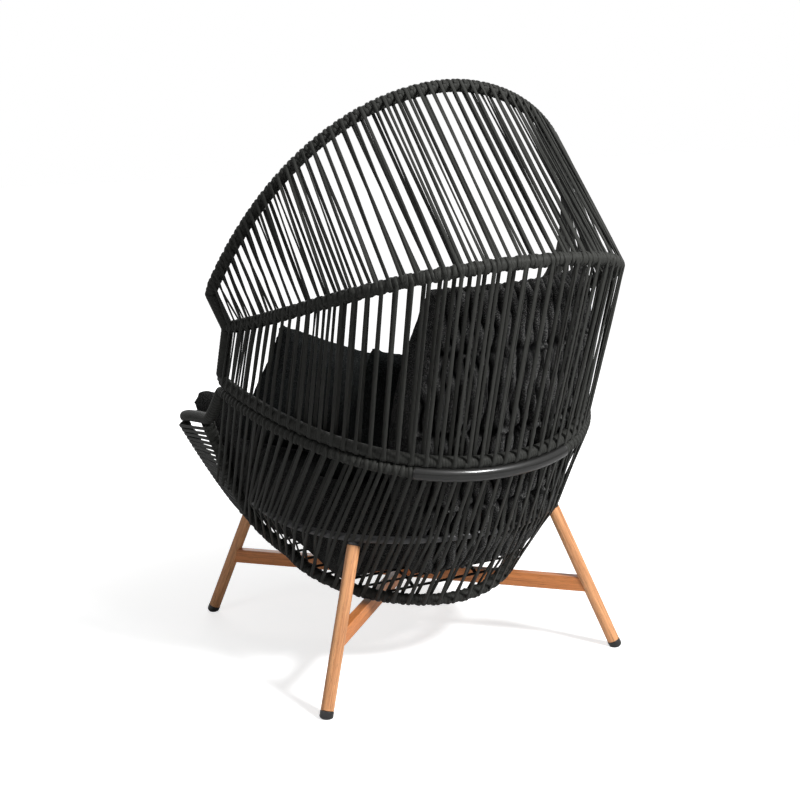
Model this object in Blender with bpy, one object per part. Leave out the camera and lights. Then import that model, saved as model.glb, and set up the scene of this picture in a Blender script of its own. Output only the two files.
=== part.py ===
"""Hooded lounge armchair for outdoors: cord strung on bent metal tubes, on four splayed wooden legs.

The frame is six bent tubes. Cord is wound round them in lengths, each length one body with its
strands. The legs stand under a hidden ring that the basket's cords run over. Sizes are in metres,
the front faces -Y and the floor is z = 0.
"""

import math

import bmesh
import bpy
import numpy as np
from mathutils import Matrix, Vector

# Tubes, cord and clearances
tube_radius = 0.0100
wrap_radius = 0.0137
ring_radius = 0.0080
fit_gap = 0.0003
end_gap = 0.0004
end_clear = 0.0035
strand_gap = 0.0006
trim_reach = 0.0400
ring_clear = 0.0010
seam_sink = 0.0011
brow_inset = 0.0140
strap_width = 0.0086
strap_thickness = 0.0030
hood_pitch = 0.0240
back_pitch = 0.0300
basket_pitch = 0.0270
root_radius = 0.0118
root_length = 0.0020
cut_overrun = 0.0200
tube_sides = 6
round_sides = 12

# Hood arch, from its top to the brow corner
arch_top_y = 0.2935
arch_top_z = 1.2600
arch_crown_x = 0.1175
arch_flank_x = 0.3606
arch_flank_y = 0.2630
arch_flank_z = 1.1988
brow_x = 0.4411
brow_y = 0.0089
brow_z = 0.8538
arch_steps = 18

# Cheek corner, where the back rail meets the hoop
cheek_x = 0.3960
cheek_y = -0.0270
cheek_z = 0.7690

# Back rail
rail_back_y = 0.5958
rail_back_z = 0.9310
rail_back_x = 0.3243
rail_flank_x = 0.3629
rail_flank_y = 0.3235
rail_flank_z = 0.8355
rail_steps = 18

# Seam between the upper body and the basket
seam_back_y = 0.4595
seam_back_z = 0.5105
seam_back_x = 0.2617
seam_flank_x = 0.4051
seam_flank_y = 0.2550
seam_flank_z = 0.5956
arm_x = 0.3971
arm_y = -0.0891
arm_z = 0.6322
seam_steps = 18

# Rim in front of the arm: drop, forward bar and lip
arm_end_x = 0.4000
arm_end_y = -0.1120
arm_end_z = 0.6080
bend_x = 0.4030
bend_y = -0.1650
bend_z = 0.5420
bend_rise = 0.0140
bend_drop = 0.0035
forward_x = 0.4020
forward_y = -0.3330
forward_z = 0.5190
turn_x = 0.3960
turn_y = -0.3880
turn_z = 0.5060
corner_x = 0.3720
corner_y = -0.4280
corner_z = 0.4960
lip_flank_x = 0.3000
lip_flank_y = -0.4430
lip_flank_z = 0.4920
lip_x = 0.1500
lip_y = -0.4530
lip_z = 0.4890
lip_front_y = -0.4560
lip_front_z = 0.4880

# Lower hoop: low behind, rising along both sides to the lip corners
hoop_back_y = 0.2576
hoop_back_z = 0.1656
hoop_back_x = 0.1309
hoop_flank_x = 0.2734
hoop_flank_y = 0.1290
hoop_flank_z = 0.1950
hoop_side_y = -0.0283
hoop_side_z = 0.2313
hoop_lead_y = -0.0600
hoop_lead_z = 0.2387
hoop_rise_x = 0.2788
hoop_rise_y = -0.2525
hoop_rise_z = 0.2076
hoop_tip_x = 0.3840
hoop_tip_y = -0.4020
hoop_tip_z = 0.4650
hoop_rear_steps = 9
hoop_side_steps = 9

# Leg ring, hidden inside the basket cords
ring_z = 0.3460
ring_back_y = 0.3800
ring_back_x = 0.1926
ring_side_x = 0.3350
ring_flank_y = 0.2268
ring_lead_y = -0.1900
ring_corner_x = 0.3100
ring_front_y = -0.2850
ring_front_x = 0.1800
ring_rear_steps = 10
ring_side_steps = 8

# Legs, sockets, caps and stretchers
leg_radius = 0.0140
leg_centre_y = -0.0150
leg_foot_x = 0.3635
leg_foot_y = 0.3573
leg_head_x = 0.2486
leg_head_y = 0.2772
leg_head_z = 0.3288
socket_radius = 0.0128
socket_search = 0.0005
spigot_radius = 0.0060
spigot_length = 0.0300
bore_gap = 0.0004
cap_radius = 0.0146
cap_height = 0.0150
cap_edge = 0.0040
cap_dome = 0.0080
bar_height = 0.0330
bar_width = 0.0200
bar_z = 0.1490
notch_half = 0.0600
bolt_radius = 0.0040
bolt_head_radius = 0.0075
bolt_head_height = 0.0035

# Floor cords
floor_pitch = 0.0380
floor_clear = 0.0022
floor_back_y = 0.2050
floor_front_y = -0.2400
floor_tie_x = 0.0800

# Seat cushion
seat_half_back = 0.3000
seat_half_front = 0.3830
seat_back_y = 0.1500
seat_front_y = -0.4000
seat_lift = 0.0416
seat_top_z = 0.4000
seat_front_top_z = 0.5400
seat_edge_back_z = 0.3700
seat_edge_front_z = 0.5950

# Back cushion
back_low_z = 0.2400
back_high_z = 0.8850
back_low_y = 0.2870
back_mid_y = 0.3960
back_high_y = 0.4400
back_low_x = -0.0200
back_high_x = -0.1000
back_half_low = 0.1450
back_half_mid = 0.2620
back_half_high = 0.2350
back_bow = 0.1180
back_bow_reach = 0.2700
back_depth = 0.0540
back_tuft_depth = 0.0100

# Scatter pillows
side_pillow_half = 0.1720
side_pillow_x = 0.1666
side_pillow_y = -0.0923
side_pillow_z = 0.5714
mid_pillow_half = 0.1750
mid_pillow_x = 0.0788
mid_pillow_y = 0.1328
mid_pillow_z = 0.5372
pillow_depth = 0.0480
side_pillow_rest_z = 0.4177
mid_pillow_rest_z = 0.3868
pillow_side_x = 0.3620
pillow_squash = 0.0180

# Shares, counts and angles, which have no length
hood_sectors = 6
back_sectors = 6
basket_sectors = 6
hood_lean_share = 0.022
side_reach_share = 0.935
hoop_reach_share = 0.895
front_reach_share = 0.93
edge_power = 3.0
seat_rise_power = 3.5
curve_samples = 20
ring_samples = 8
strand_samples = 60
drop_stations = 7
post_steps = 3
upright_share = 0.2
leg_clear_share = 0.7
dome_steps = 4
sharp_angle = math.radians(40.0)
seat_squash_share = 0.22
seat_columns = 12
seat_rows = 10
back_columns = 14
back_rows = 12
tuft_rows = 3
tuft_columns = 5
pillow_steps = 9
pillow_waist_share = 0.07
pillow_power = 0.62
side_pillow_turn = math.radians(-12.0)
side_pillow_lean = math.radians(-22.0)
side_pillow_roll = math.radians(-22.0)
mid_pillow_turn = math.radians(-4.0)
mid_pillow_lean = math.radians(-24.0)
mid_pillow_roll = math.radians(-14.0)


# Empty file, one collection for the chair and one for cutters
for item in list(bpy.data.objects):
    bpy.data.objects.remove(item, do_unlink=True)
scene = bpy.context.scene
chair = bpy.data.collections.new("hooded_outdoor_armchair")
scene.collection.children.link(chair)
cutters = bpy.data.collections.new("cutters")
scene.collection.children.link(cutters)


def material(name, colour, roughness, metallic):
    """A Principled material with plain values."""
    made = bpy.data.materials.new(name)
    made.use_nodes = True
    shader = made.node_tree.nodes["Principled BSDF"]
    shader.inputs["Base Color"].default_value = (*colour, 1.0)
    shader.inputs["Roughness"].default_value = roughness
    shader.inputs["Metallic"].default_value = metallic
    made.diffuse_color = (*colour, 1.0)
    return made


cord_black = material("charcoal cord", (0.012, 0.012, 0.013), 0.62, 0.0)
metal_black = material("black coated metal", (0.016, 0.016, 0.017), 0.42, 0.6)
teak = material("oiled teak", (0.47, 0.20, 0.075), 0.48, 0.0)
teak_dark = material("oiled teak bars", (0.43, 0.17, 0.062), 0.50, 0.0)
foot_black = material("black foot plastic", (0.010, 0.010, 0.010), 0.38, 0.0)
fabric_dark = material("charcoal heather fabric", (0.020, 0.021, 0.023), 0.95, 0.0)
fabric_plain = material("charcoal plain fabric", (0.014, 0.015, 0.016), 0.93, 0.0)


def put(name, mesh, look, home=None):
    """A named object from a mesh, flat-shaded where its faces meet sharply."""
    made = bpy.data.objects.new(name, mesh)
    (home or chair).objects.link(made)
    mesh.materials.clear()
    mesh.materials.append(look)
    mesh.polygons.foreach_set("use_smooth", [True] * len(mesh.polygons))
    mesh.set_sharp_from_angle(angle=sharp_angle)
    return made


def cutter(name, mesh, look):
    """A body used only in a Boolean."""
    made = put(name, mesh, look, cutters)
    made.hide_render = True
    made.display_type = "WIRE"
    return made


def mesh_from(name, *bodies):
    """A mesh of one or more closed bodies, each with its faces turned outwards."""
    whole = bmesh.new()
    for points, faces in bodies:
        body = bpy.data.meshes.new(name)
        body.from_pydata([tuple(p) for p in points], [], faces)
        work = bmesh.new()
        work.from_mesh(body)
        bmesh.ops.recalc_face_normals(work, faces=work.faces)
        if work.calc_volume(signed=True) < 0:
            bmesh.ops.reverse_faces(work, faces=work.faces)
        work.to_mesh(body)
        work.free()
        whole.from_mesh(body)
        bpy.data.meshes.remove(body)
    made = bpy.data.meshes.new(name)
    whole.to_mesh(made)
    whole.free()
    return made


def boolean(target, tool, operation):
    """An exact Boolean of one object with another."""
    step = target.modifiers.new(operation.lower(), "BOOLEAN")
    step.operation = operation
    step.solver = "EXACT"
    step.object = tool
    return step


def settle(target):
    """The target's mesh with its modifiers applied."""
    graph = bpy.context.evaluated_depsgraph_get()
    done = bpy.data.meshes.new_from_object(target.evaluated_get(graph))
    target.modifiers.clear()
    target.data = done
    return target


# Curves as rows of points
def unit(v):
    """A vector, or rows of vectors, at length one."""
    v = np.asarray(v, float)
    return v / np.linalg.norm(v, axis=-1, keepdims=True)


def bezier(p0, p1, p2, p3, steps):
    """Points along a cubic curve at equal spacing."""
    t = np.linspace(0.0, 1.0, curve_samples * steps + 1)[:, None]
    corners = [np.array(p, float) for p in (p0, p1, p2, p3)]
    weights = [(1 - t) ** 3, 3 * (1 - t) ** 2 * t, 3 * (1 - t) * t ** 2, t ** 3]
    return spaced(sum(w * c for w, c in zip(weights, corners)), steps)


def lengths(points):
    """Running length along a row of points."""
    return np.concatenate([[0.0], np.cumsum(np.linalg.norm(np.diff(points, axis=0), axis=1))])


def along(points, distance):
    """The point at a distance along a row of points."""
    run = lengths(points)
    return np.array([np.interp(distance, run, points[:, k]) for k in range(3)])


def spaced(points, steps):
    """The same path in equal steps."""
    total = lengths(points)[-1]
    return np.array([along(points, total * k / steps) for k in range(steps + 1)])


def mirrored(half):
    """A whole path from the half that starts on the centre plane."""
    other = half[::-1] * np.array([-1.0, 1.0, 1.0])
    return np.vstack([other[:-1], half])


def frames(path, closed=False):
    """Tangent and two side directions at each point, carried along without twist."""
    if closed:
        tangents = unit(np.roll(path, -1, axis=0) - np.roll(path, 1, axis=0))
    else:
        tangents = unit(np.gradient(path, axis=0))
    side = np.cross(tangents[0], [0.0, 0.0, 1.0])
    if np.linalg.norm(side) < upright_share:
        side = np.cross(tangents[0], [0.0, 1.0, 0.0])
    side = unit(side)
    sides = []
    for tangent in tangents:
        side = unit(side - tangent * side.dot(tangent))
        sides.append(side)
    sides = np.array(sides)
    if closed:
        first = sides[0]
        last = unit(sides[-1] - tangents[0] * sides[-1].dot(tangents[0]))
        slip = math.atan2(np.cross(last, first).dot(tangents[0]), last.dot(first))
        count = len(path)
        turned = []
        for k in range(count):
            angle = slip * k / count
            other = np.cross(tangents[k], sides[k])
            turned.append(sides[k] * math.cos(angle) + other * math.sin(angle))
        sides = np.array(turned)
    return tangents, sides, np.cross(tangents, sides)


class Rail:
    """A path with its directions, shared by a tube and the cord wound on it."""

    def __init__(self, path, closed=False):
        self.path = np.array(path, float)
        self.closed = closed
        self.tangent, self.side, self.other = frames(self.path, closed)

    def opened(self):
        """The closed path with its first station again at its end."""
        copy = Rail(self.path)
        for part in ("path", "tangent", "side", "other"):
            rows = getattr(self, part)
            setattr(copy, part, np.vstack([rows, rows[:1]]))
        return copy

    def rings(self, radius, first, last, trim_first, trim_last):
        """Rings of points round the path from one station to another."""
        angles = np.arange(tube_sides) * 2.0 * math.pi / tube_sides
        made = []
        for k in range(first, last + 1):
            spoke = (np.outer(np.cos(angles), self.side[k]) + np.outer(np.sin(angles), self.other[k]))
            made.append(self.path[k] + radius * spoke)
        ahead = (made[1] - made[0]) / np.linalg.norm(self.path[first + 1] - self.path[first])
        back = (made[-2] - made[-1]) / np.linalg.norm(self.path[last - 1] - self.path[last])
        made[0] = made[0] + ahead * trim_first
        made[-1] = made[-1] + back * trim_last
        return made

    def bar(self, radius, trim_first=0.0, trim_last=0.0):
        """Points and faces of a solid round bar along the path."""
        count = len(self.path)
        if self.closed:
            rings = self.rings(radius, 0, count - 1, 0.0, 0.0)
            return np.vstack(rings), walls(count, tube_sides, True)
        rings = self.rings(radius, 0, count - 1, trim_first, trim_last)
        faces = walls(count, tube_sides, False)
        faces.append(list(range(tube_sides)))
        faces.append([(len(rings) - 1) * tube_sides + k for k in range(tube_sides)])
        return np.vstack(rings), faces

    def sleeve(self, first, last, trim_first=end_gap / 2, trim_last=end_gap / 2, core=tube_radius):
        """Points and faces of the wound layer from one station to another."""
        outer = self.rings(core + wrap_radius - tube_radius, first, last, trim_first, trim_last)
        inner = self.rings(core + fit_gap, first, last, trim_first, trim_last)
        count = len(outer)
        shift = count * tube_sides
        faces = walls(count, tube_sides, False)
        faces += [[shift + k for k in face] for face in walls(count, tube_sides, False)]
        for start in (0, (count - 1) * tube_sides):
            for k in range(tube_sides):
                step = (k + 1) % tube_sides
                faces.append([start + k, start + step, shift + start + step, shift + start + k])
        return np.vstack(outer + inner), faces


def walls(count, sides, closed):
    """Side faces between rings of points."""
    faces = []
    for ring in range(count if closed else count - 1):
        after = (ring + 1) % count
        for k in range(sides):
            step = (k + 1) % sides
            faces.append([ring * sides + k, ring * sides + step, after * sides + step, after * sides + k])
    return faces


def on_cylinder(point, direction, axis_point, axis, radius):
    """Where a line that leaves a rail's axis passes a distance from that axis."""
    offset = point - axis_point
    offset = offset - axis * offset.dot(axis)
    across = direction - axis * direction.dot(axis)
    a = across.dot(across)
    b = offset.dot(across)
    c = offset.dot(offset) - radius ** 2
    t = (-b + math.sqrt(max(b * b - a * c, 0.0))) / a
    return point + direction * t


def outside(top, low, top_way, low_way, out_top, out_low):
    """A strand's two ends moved to the outer sides of the rails it is wound on."""
    run = low - top
    middle = np.array([0.0, leg_centre_y, ring_z]) + shift
    ends = []
    for point, way, distance in ((top, top_way, out_top), (low, low_way, out_low)):
        normal = unit(np.cross(way, run))
        if normal.dot(point - middle) < 0:
            normal = -normal
        ends.append(point + normal * distance)
    return ends


def strap(stops, width_ways, start=None, end=None):
    """One strand through its stops; an end with an axis point, axis and radius is trimmed there."""
    stops = [np.array(s, float) for s in stops]
    first = unit(stops[1] - stops[0])
    final = unit(stops[-1] - stops[-2])
    if start is None:
        stops[0] = stops[0] - first * root_length
    if end is None:
        stops[-1] = stops[-1] + final * root_length
    rings = []
    for k, stop in enumerate(stops):
        before = unit(stop - stops[k - 1]) if k else first
        after = unit(stops[k + 1] - stop) if k < len(stops) - 1 else final
        run = unit(before + after)
        width = unit(width_ways[k] - run * width_ways[k].dot(run))
        depth = np.cross(run, width)
        w = width * strap_width / 2
        d = depth * strap_thickness / 2
        corners = [stop + w + d, stop - w + d, stop - w - d, stop + w - d]
        if k == 0 and start is not None:
            corners = [on_cylinder(c, run, *start) for c in corners]
        if k == len(stops) - 1 and end is not None:
            corners = [on_cylinder(c, -run, *end) for c in corners]
        rings.append(np.array(corners))
    faces = walls(len(rings), 4, False)
    faces.append([0, 1, 2, 3])
    faces.append([(len(rings) - 1) * 4 + k for k in range(4)])
    return np.vstack(rings), faces


def wound(name, sleeves, straps):
    """A length of cord: its wound layers and its strands as one body."""
    body = put(name, mesh_from(name, *sleeves), cord_black)
    if straps:
        tool = cutter(name + "_strands", mesh_from(name + "_strands", *straps), cord_black)
        boolean(body, tool, "UNION")
        settle(body)
        put_look(body, cord_black)
        bpy.data.objects.remove(tool, do_unlink=True)
    return body


def put_look(body, look):
    """One material and the same shading on a settled body."""
    body.data.materials.clear()
    body.data.materials.append(look)
    body.data.polygons.foreach_set("material_index", [0] * len(body.data.polygons))
    body.data.polygons.foreach_set("use_smooth", [True] * len(body.data.polygons))
    body.data.set_sharp_from_angle(angle=sharp_angle)


def from_path(points, path):
    """Least distance from a set of points to a row of straight pieces."""
    least = math.inf
    for a, b in zip(path[:-1], path[1:]):
        run = b - a
        t = np.clip(((points - a) @ run) / run.dot(run), 0.0, 1.0)
        least = min(least, np.linalg.norm(points - a - np.outer(t, run), axis=1).min())
    return least


def clear_trim(rail, radius, path, distance):
    """How far a tube's end is cut back, or carried on, to stop just short of another path."""
    trim = trim_reach
    while trim > -trim_reach:
        end = rail.rings(radius, len(rail.path) - 2, len(rail.path) - 1, 0.0, trim)[-1]
        between = (end + np.roll(end, 1, axis=0)) / 2
        if from_path(np.vstack([end, between, end.mean(axis=0)]), path) < distance:
            return trim + fit_gap
        trim -= fit_gap
    return trim


# Middle of the chair, so that its footprint is centred on the origin
rear_most = rail_back_y + wrap_radius
front_most = lip_front_y - wrap_radius
shift = np.array([0.0, -(rear_most + front_most) / 2, 0.0])

brow = (brow_x, brow_y, brow_z)
cheek = (cheek_x, cheek_y, cheek_z)
arm = (arm_x, arm_y, arm_z)

arch_half = bezier((0, arch_top_y, arch_top_z), (arch_crown_x, arch_top_y, arch_top_z),
                   (arch_flank_x, arch_flank_y, arch_flank_z), brow, arch_steps // 2)
rail_half = bezier((0, rail_back_y, rail_back_z), (rail_back_x, rail_back_y, rail_back_z),
                   (rail_flank_x, rail_flank_y, rail_flank_z), cheek, rail_steps // 2)
seam_half = bezier((0, seam_back_y, seam_back_z), (seam_back_x, seam_back_y, seam_back_z),
                   (seam_flank_x, seam_flank_y, seam_flank_z), arm, seam_steps // 2)


def beside_seam(half, distance):
    """The seam line moved up or down across its own run."""
    tangent = unit(np.gradient(half, axis=0))
    up = np.array([0.0, 0.0, 1.0]) - tangent * tangent[:, 2:3]
    return half + unit(up) * distance


half_gap = wrap_radius + fit_gap - seam_sink
upper_half = beside_seam(seam_half, half_gap)
lower_half = beside_seam(seam_half, -half_gap)

# Front hoop: post, cheek, brow and arch in one bent tube
post_foot = upper_half[-1]
post_half = np.linspace(brow, cheek, post_steps)
post_half = np.vstack([post_half, np.linspace(cheek, post_foot, post_steps + 1)[1:]])
hoop_half = np.vstack([arch_half, post_half[1:]])
front_rail = Rail(mirrored(hoop_half) + shift)
front_middle = len(hoop_half) - 1
put("front_hoop_tube", mesh_from("front_hoop_tube", front_rail.bar(
    tube_radius, trim_first=-tube_radius, trim_last=-tube_radius)), metal_black)

# Back rail tube, its ends against the hoop at the cheeks
back_rail = Rail(mirrored(rail_half) + shift)
rail_trim = clear_trim(back_rail, tube_radius, front_rail.path, tube_radius + fit_gap)
put("back_rail_tube", mesh_from("back_rail_tube", back_rail.bar(
    tube_radius, trim_first=rail_trim, trim_last=rail_trim)), metal_black)

# Upper seam tube, its ends against the posts
upper_rail = Rail(mirrored(upper_half) + shift)
upper_trim = clear_trim(upper_rail, tube_radius, front_rail.path, tube_radius + fit_gap)
put("upper_seam_tube", mesh_from("upper_seam_tube", upper_rail.bar(
    tube_radius, trim_first=upper_trim, trim_last=upper_trim)), metal_black)

# Lower rim tube: the seam, the arm drops and the lip in one closed loop
front_run = np.array([
    (arm_end_x, arm_end_y, arm_end_z - half_gap),
    (bend_x, bend_y + bend_rise, bend_z + bend_rise),
    (bend_x, bend_y - bend_rise, bend_z - bend_drop),
    (forward_x, (bend_y + forward_y) / 2, (bend_z + forward_z) / 2),
    (forward_x, forward_y, forward_z),
    (turn_x, turn_y, turn_z),
    (corner_x, corner_y, corner_z),
    (lip_flank_x, lip_flank_y, lip_flank_z),
    (lip_x, lip_y, lip_z),
])
rim_half = np.vstack([lower_half, front_run])
rim_front = np.array([(0, lip_front_y, lip_front_z)])
rim_path = np.vstack([rim_front, mirrored(rim_half)])
rim_rail = Rail(rim_path + shift, closed=True)
rim_open = rim_rail.opened()
rim_middle = len(rim_half)
put("lower_rim_tube", mesh_from("lower_rim_tube", rim_rail.bar(tube_radius)), metal_black)

# Lower hoop tube, rising to the lip corners
hoop_rear = bezier((0, hoop_back_y, hoop_back_z), (hoop_back_x, hoop_back_y, hoop_back_z),
                   (hoop_flank_x, hoop_flank_y, hoop_flank_z),
                   (hoop_flank_x, hoop_side_y, hoop_side_z), hoop_rear_steps)
hoop_side = bezier((hoop_flank_x, hoop_side_y, hoop_side_z), (hoop_flank_x, hoop_lead_y, hoop_lead_z),
                   (hoop_rise_x, hoop_rise_y, hoop_rise_z),
                   (hoop_tip_x, hoop_tip_y, hoop_tip_z), hoop_side_steps)
low_half = np.vstack([hoop_rear, hoop_side[1:]])
low_rail = Rail(mirrored(low_half) + shift)
low_trim = clear_trim(low_rail, tube_radius, rim_open.path, wrap_radius + fit_gap)
put("lower_hoop_tube", mesh_from("lower_hoop_tube", low_rail.bar(
    tube_radius, trim_first=low_trim, trim_last=low_trim)), metal_black)

# Leg ring tube, one closed loop over the four legs
ring_rear = bezier((0, ring_back_y, ring_z), (ring_back_x, ring_back_y, ring_z),
                   (ring_side_x, ring_flank_y, ring_z), (ring_side_x, 0, ring_z), ring_rear_steps)
ring_fore = bezier((ring_side_x, 0, ring_z), (ring_side_x, ring_lead_y, ring_z),
                   (ring_corner_x, ring_front_y, ring_z), (ring_front_x, ring_front_y, ring_z),
                   ring_side_steps)
ring_half = np.vstack([ring_rear, ring_fore[1:]])
ring_start = np.array([(0, ring_front_y, ring_z)])
ring_path = np.vstack([ring_start, mirrored(ring_half)])
ring_rail = Rail(ring_path + shift, closed=True)
ring_open = ring_rail.opened()
put("leg_ring_tube", mesh_from("leg_ring_tube", ring_rail.bar(ring_radius)), metal_black)


def sector_names(base, count):
    """Names from the chair's left side round to its right side."""
    return ["%s_%02d" % (base, k + 1) for k in range(count)]


def marks(start, end, pitch):
    """Places at equal spacing, as near the pitch as the length allows."""
    count = max(1, round((end - start) / pitch))
    return [start + (end - start) * (k + 0.5) / count for k in range(count)]


# Hood cords: wound on the arch, their lower ends on the wound back rail
arch_first = post_steps * 2 - 1
arch_path = front_rail.path[arch_first:arch_first + arch_steps + 1]
arch_run = lengths(arch_path)
arch_rail = Rail(arch_path)
rail_run = lengths(back_rail.path)
upper_run = lengths(upper_rail.path)
rail_total = rail_run[-1]


def piece_way(rail, run, distance):
    """Direction of the rail's straight piece that holds a distance."""
    k = min(max(int(np.searchsorted(run, distance)) - 1, 0), len(run) - 2)
    return unit(rail.path[k + 1] - rail.path[k])


def leaning(share, lean):
    """A share of a rail moved towards its middle or its ends; its ends and middle stay."""
    return share + lean * math.sin(2 * math.pi * share)


per_hood = arch_steps // hood_sectors
for k, name in enumerate(sector_names("hood_cords", hood_sectors)):
    a = k * per_hood
    b = a + per_hood
    straps = []
    start = arch_run[a] + (brow_inset if k == 0 else 0)
    end = arch_run[b] - (brow_inset if k == hood_sectors - 1 else 0)
    for s in marks(start, end, hood_pitch):
        d = rail_total * leaning(s / arch_run[-1], hood_lean_share)
        top = along(arch_path, s)
        low = along(back_rail.path, d)
        way = piece_way(arch_rail, arch_run, s)
        low_way = piece_way(back_rail, rail_run, d)
        ends = outside(top, low, way, low_way, root_radius, root_radius)
        straps.append(strap(ends, [way, low_way], None, (low, low_way, wrap_radius + strand_gap)))
    wound(name, [front_rail.sleeve(arch_first + a, arch_first + b)], straps)

# Back cords: wound on the back rail and on the upper seam rail
per_back = rail_steps // back_sectors
end_trim = wrap_radius + tube_radius + end_clear
for k, name in enumerate(sector_names("back_cords", back_sectors)):
    a = k * per_back
    b = a + per_back
    trim_a = end_trim if k == 0 else end_gap / 2
    trim_b = end_trim if k == back_sectors - 1 else end_gap / 2
    straps = []
    for s in marks(rail_run[a], rail_run[b], back_pitch):
        if s < end_trim + strap_width or s > rail_total - end_trim - strap_width:
            continue
        share = (s - rail_run[a]) / (rail_run[b] - rail_run[a])
        d = upper_run[a] + (upper_run[b] - upper_run[a]) * share
        top = along(back_rail.path, s)
        low = along(upper_rail.path, d)
        way = piece_way(back_rail, rail_run, s)
        low_way = piece_way(upper_rail, upper_run, d)
        ends = outside(top, low, way, low_way, root_radius, root_radius)
        straps.append(strap(ends, [way, low_way]))
    wound(name, [back_rail.sleeve(a, b, trim_a, trim_b), upper_rail.sleeve(a, b, trim_a, trim_b)], straps)

# Wraps on the posts and at the brows
for side, a, b, c in (("left", 0, post_steps, arch_first),
                      ("right", len(front_rail.path) - 1, len(front_rail.path) - 1 - post_steps,
                       len(front_rail.path) - 1 - arch_first)):
    if side == "left":
        post = front_rail.sleeve(a, b, end_trim, end_trim)
        brow_part = front_rail.sleeve(b, c, end_trim, end_gap / 2)
    else:
        post = front_rail.sleeve(b, a, end_trim, end_trim)
        brow_part = front_rail.sleeve(c, b, end_gap / 2, end_trim)
    wound("post_wrap_" + side, [post], [])
    wound("brow_wrap_" + side, [brow_part], [])

# Basket cords: wound on the lower rim, run over the leg ring and wound on the lower hoop
low_middle = len(low_half) - 1
per_low = low_middle // (basket_sectors // 2)
per_rim = (seam_steps // 2) // (basket_sectors // 2)
rim_run = lengths(rim_open.path)
low_run = lengths(low_rail.path)
rim_zero = rim_run[rim_middle]
low_zero = low_run[low_middle]


def over_ring(top, low):
    """Where a strand bends over the leg ring, or None where it clears it, and the ring's run there."""
    path = ring_open.path
    fine = np.vstack([path[k] + (path[k + 1] - path[k]) * t / ring_samples
                      for k in range(len(path) - 1) for t in range(ring_samples)])
    run = unit(low - top)
    away = fine - top
    apart = np.linalg.norm(away - np.outer(away @ run, run), axis=1)
    best = int(np.argmin(apart))
    point = fine[best]
    piece = best // ring_samples
    tangent = unit(path[piece + 1] - path[piece])
    outward = unit(np.cross(tangent, run))
    middle = shift + np.array([0.0, 0.0, ring_z])
    if outward.dot(point - middle) < 0:
        outward = -outward
    foot = top + run * (point - top).dot(run)
    bend = point + outward * (ring_radius + strap_thickness / 2 + ring_clear)
    spare = (foot - bend).dot(outward)
    if spare > strap_width / 2:
        return None, tangent
    bend = bend + outward * max(spare, 0)
    return bend, tangent


def leg_line(sx, sy):
    """A leg's foot, head and upward direction."""
    foot = np.array([sx * leg_foot_x, leg_centre_y + sy * leg_foot_y, 0.0]) + shift
    head = np.array([sx * leg_head_x, leg_centre_y + sy * leg_head_y, leg_head_z]) + shift
    return foot, head, unit(head - foot)


corners = {"front_left": (-1, -1), "front_right": (1, -1), "rear_left": (-1, 1), "rear_right": (1, 1)}


def clear_of_legs(stops):
    """Whether a strand keeps off the legs and their sockets."""
    for sx, sy in corners.values():
        foot, head, up = leg_line(sx, sy)
        line = np.array([foot, head + up * (ring_z - leg_head_z + leg_radius)])
        points = np.array([a + (b - a) * t for a, b in zip(stops[:-1], stops[1:])
                           for t in np.linspace(0.0, 1.0, strand_samples)])
        if from_path(points, line) < leg_radius + strap_width * leg_clear_share:
            return False
    return True


last = basket_sectors // 2 - 1
for k, name in enumerate(sector_names("basket_cords", basket_sectors)):
    side = -1 if k <= last else 1
    inner = last - k if side < 0 else k - last - 1
    s_a = rim_run[rim_middle + inner * per_rim] - rim_zero
    s_b = rim_run[rim_middle + (inner + 1) * per_rim] - rim_zero
    d_a = low_run[low_middle + inner * per_low] - low_zero
    d_b = low_run[low_middle + (inner + 1) * per_low] - low_zero
    if inner == last:
        s_b = (rim_run[rim_middle + seam_steps // 2] - rim_zero) * side_reach_share
        d_b = (low_run[-1] - low_zero) * hoop_reach_share
    straps = []
    for s in marks(s_a, s_b, basket_pitch):
        d = d_a + (d_b - d_a) * (s - s_a) / (s_b - s_a)
        top = along(rim_open.path, rim_zero + side * s)
        low = along(low_rail.path, low_zero + side * d)
        top_way = piece_way(rim_open, rim_run, rim_zero + side * s)
        low_way = piece_way(low_rail, low_run, low_zero + side * d)
        ends = outside(top, low, top_way, low_way, root_radius, root_radius)
        bend, way = over_ring(*ends)
        stops = ends if bend is None else [ends[0], bend, ends[1]]
        ways = [top_way, low_way] if bend is None else [top_way, way, low_way]
        if clear_of_legs(stops):
            straps.append(strap(stops, ways))
    rim_ends = sorted([rim_middle + side * inner * per_rim, rim_middle + side * (inner + 1) * per_rim])
    low_ends = sorted([low_middle + side * inner * per_low, low_middle + side * (inner + 1) * per_low])
    trims = [end_gap / 2, end_gap / 2]
    if inner == last:
        trims[0 if side < 0 else 1] = max(low_trim, 0) + wrap_radius
    wound(name, [rim_open.sleeve(*rim_ends), low_rail.sleeve(*low_ends, *trims)], straps)

# Wraps on the arm drops and forward bars
arm_station = seam_steps // 2
corner_station = arm_station + drop_stations
for side, name in ((-1, "arm_wrap_left"), (1, "arm_wrap_right")):
    ends = sorted([rim_middle + side * arm_station, rim_middle + side * corner_station])
    wound(name, [rim_open.sleeve(*ends)], [])

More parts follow.
